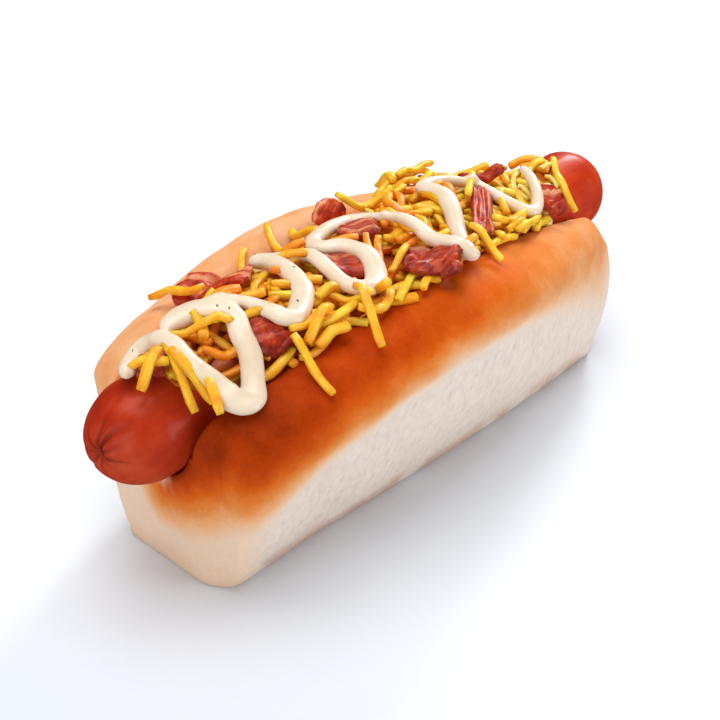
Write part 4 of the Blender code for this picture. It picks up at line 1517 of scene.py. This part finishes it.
@dataclass
class HerbFlecks:
    """Flakes of herb in the sauce: the few that the photo shows, and a seeded few more."""

    places: tuple[tuple[float, float], ...] = ((-79, 7), (-33, -1), (-60, -2), (-16, 5), (22, 1), (-43, -12))
    count: int = 10
    sizes: tuple[float, float] = (0.35 * MM, 0.75 * MM)
    thickness: float = 0.12 * MM
    seed: int = 5

    def build(self, sauce: bpy.types.Object, finish: Finish) -> None:
        """Presses the flakes into the sauce's upper side.

        Args:
            sauce: the made ribbon.
            finish: the herb's finish.
        """
        source = bmesh.new()
        source.from_mesh(sauce.data)
        tree = BVHTree.FromBMesh(source)
        source.free()
        rng = random.Random(self.seed)
        knots = SauceRibbon().path
        places = list(self.places)
        while len(places) < self.count:
            x, y, _ = rng.choice(knots)
            places.append((x + rng.uniform(-2, 2), y + rng.uniform(-2, 2)))
        bm = bmesh.new()
        for x, y in places:
            hit, normal, _, _ = tree.ray_cast(Vector((x * MM, y * MM, HIGH_UP)), DOWN)
            if hit is None:
                continue
            turn = Matrix.Rotation(rng.uniform(0, 6), 4, "Z")
            tilt = normal.to_track_quat("Z", "Y").to_matrix().to_4x4()
            size = rng.uniform(*self.sizes)
            scale = Matrix.Diagonal((size, size * rng.uniform(0.4, 0.7), self.thickness, 1.0))
            place = Matrix.Translation(hit + normal * self.thickness / 2) @ tilt @ turn @ scale
            bmesh.ops.create_icosphere(bm, subdivisions=1, radius=1, matrix=place)
        settle(finished("herb_flecks", bm, finish.make()), "cheese")


@dataclass
class Studio:
    """White paper floor, white soft lights above and all round, and the camera at the photo's angle."""

    camera_at: tuple[float, float, float] = (-262.6 * MM, -225.13 * MM, 259.77 * MM)
    azimuth: float = -48.76
    elevation: float = 34.47
    roll: float = 1.99
    focal_px: float = 1500.0
    image_px: float = 720.0
    floor_size: float = 4.0
    room_light: float = 0.18
    aim_height: float = 40 * MM
    # Square lights: name, place and length of a side in metres, and power in watts.
    softboxes: tuple[tuple[str, tuple[float, float, float], float, float], ...] = (
        ("overhead_softbox", (-0.03, 0.16, 1.0), 0.8, 8.5),
        ("right_softbox", (0.42, -0.92, 0.2), 0.5, 4.4),
        ("left_softbox", (-0.95, -0.2, 0.24), 0.9, 5.2),
        ("back_softbox", (0.8, 0.33, 0.45), 0.2, 4.5),
    )

    def make_floor(self) -> None:
        """Lays the paper under the bun."""
        bm = bmesh.new()
        bmesh.ops.create_grid(bm, x_segments=4, y_segments=4, size=self.floor_size / 2)
        mesh = bpy.data.meshes.new("paper_floor")
        bm.to_mesh(mesh)
        bm.free()
        mesh.materials.append(StudioPaper("white_paper").make())
        floor = bpy.data.objects.new("paper_floor", mesh)
        bpy.context.scene.collection.objects.link(floor)
        floor.visible_glossy = False

    def make_lights(self) -> None:
        """Sets the soft lights, which all face the hot dog, and the even white surroundings."""
        aim = Vector((0.0, 0.0, self.aim_height))
        for name, place, size, power in self.softboxes:
            data = bpy.data.lights.new(name, "AREA")
            data.shape = "SQUARE"
            data.size = size
            data.energy = power
            light = bpy.data.objects.new(name, data)
            light.location = place
            light.rotation_mode = "QUATERNION"
            light.rotation_quaternion = (aim - Vector(place)).to_track_quat("-Z", "Y")
            bpy.context.scene.collection.objects.link(light)
        scene = bpy.context.scene
        scene.view_settings.view_transform = "Standard"
        world = bpy.data.worlds.new("white_room")
        world.use_nodes = True
        room = {"Color": srgb("#FFFFFF"), "Strength": self.room_light}
        set_inputs(world.node_tree, world.node_tree.nodes["Background"], room)
        world.cycles_visibility.glossy = False
        scene.world = world

    def make_camera(self) -> None:
        """Places the camera where the photo was taken from."""
        a, e, roll = (math.radians(v) for v in (self.azimuth, self.elevation, self.roll))
        back = Vector((math.sin(a) * math.cos(e), -math.cos(a) * math.cos(e), math.sin(e)))
        right = (-back).cross(Vector((0.0, 0.0, 1.0))).normalized()
        up = right.cross(-back)
        cosine, sine = math.cos(roll), math.sin(roll)
        right, up = right * cosine + up * sine, up * cosine - right * sine
        data = bpy.data.cameras.new("camera")
        data.sensor_width = 36.0
        data.lens = self.focal_px * data.sensor_width / self.image_px
        camera = bpy.data.objects.new("camera", data)
        camera.rotation_mode = "QUATERNION"
        camera.rotation_quaternion = Matrix((right, up, back)).transposed().to_quaternion()
        camera.location = self.camera_at
        bpy.context.scene.collection.objects.link(camera)
        bpy.context.scene.camera = camera

    def build(self) -> None:
        """Makes the floor, the lights and the camera."""
        self.make_floor()
        self.make_lights()
        self.make_camera()


def main() -> None:
    """Dresses the hot dog and sets it in the studio."""
    logging.basicConfig(level=logging.INFO, format="%(name)s %(message)s")
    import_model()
    sausage = Sausage()
    skin = sausage.build(CookedSkin("cooked_casing"))
    bun = Bun(sausage)
    bread = bun.build(BakedBread("baked_bread"))
    Toppings(Heap(bun)).build(bread, skin)
    Studio().build()


if __name__ == "__main__":
    main()
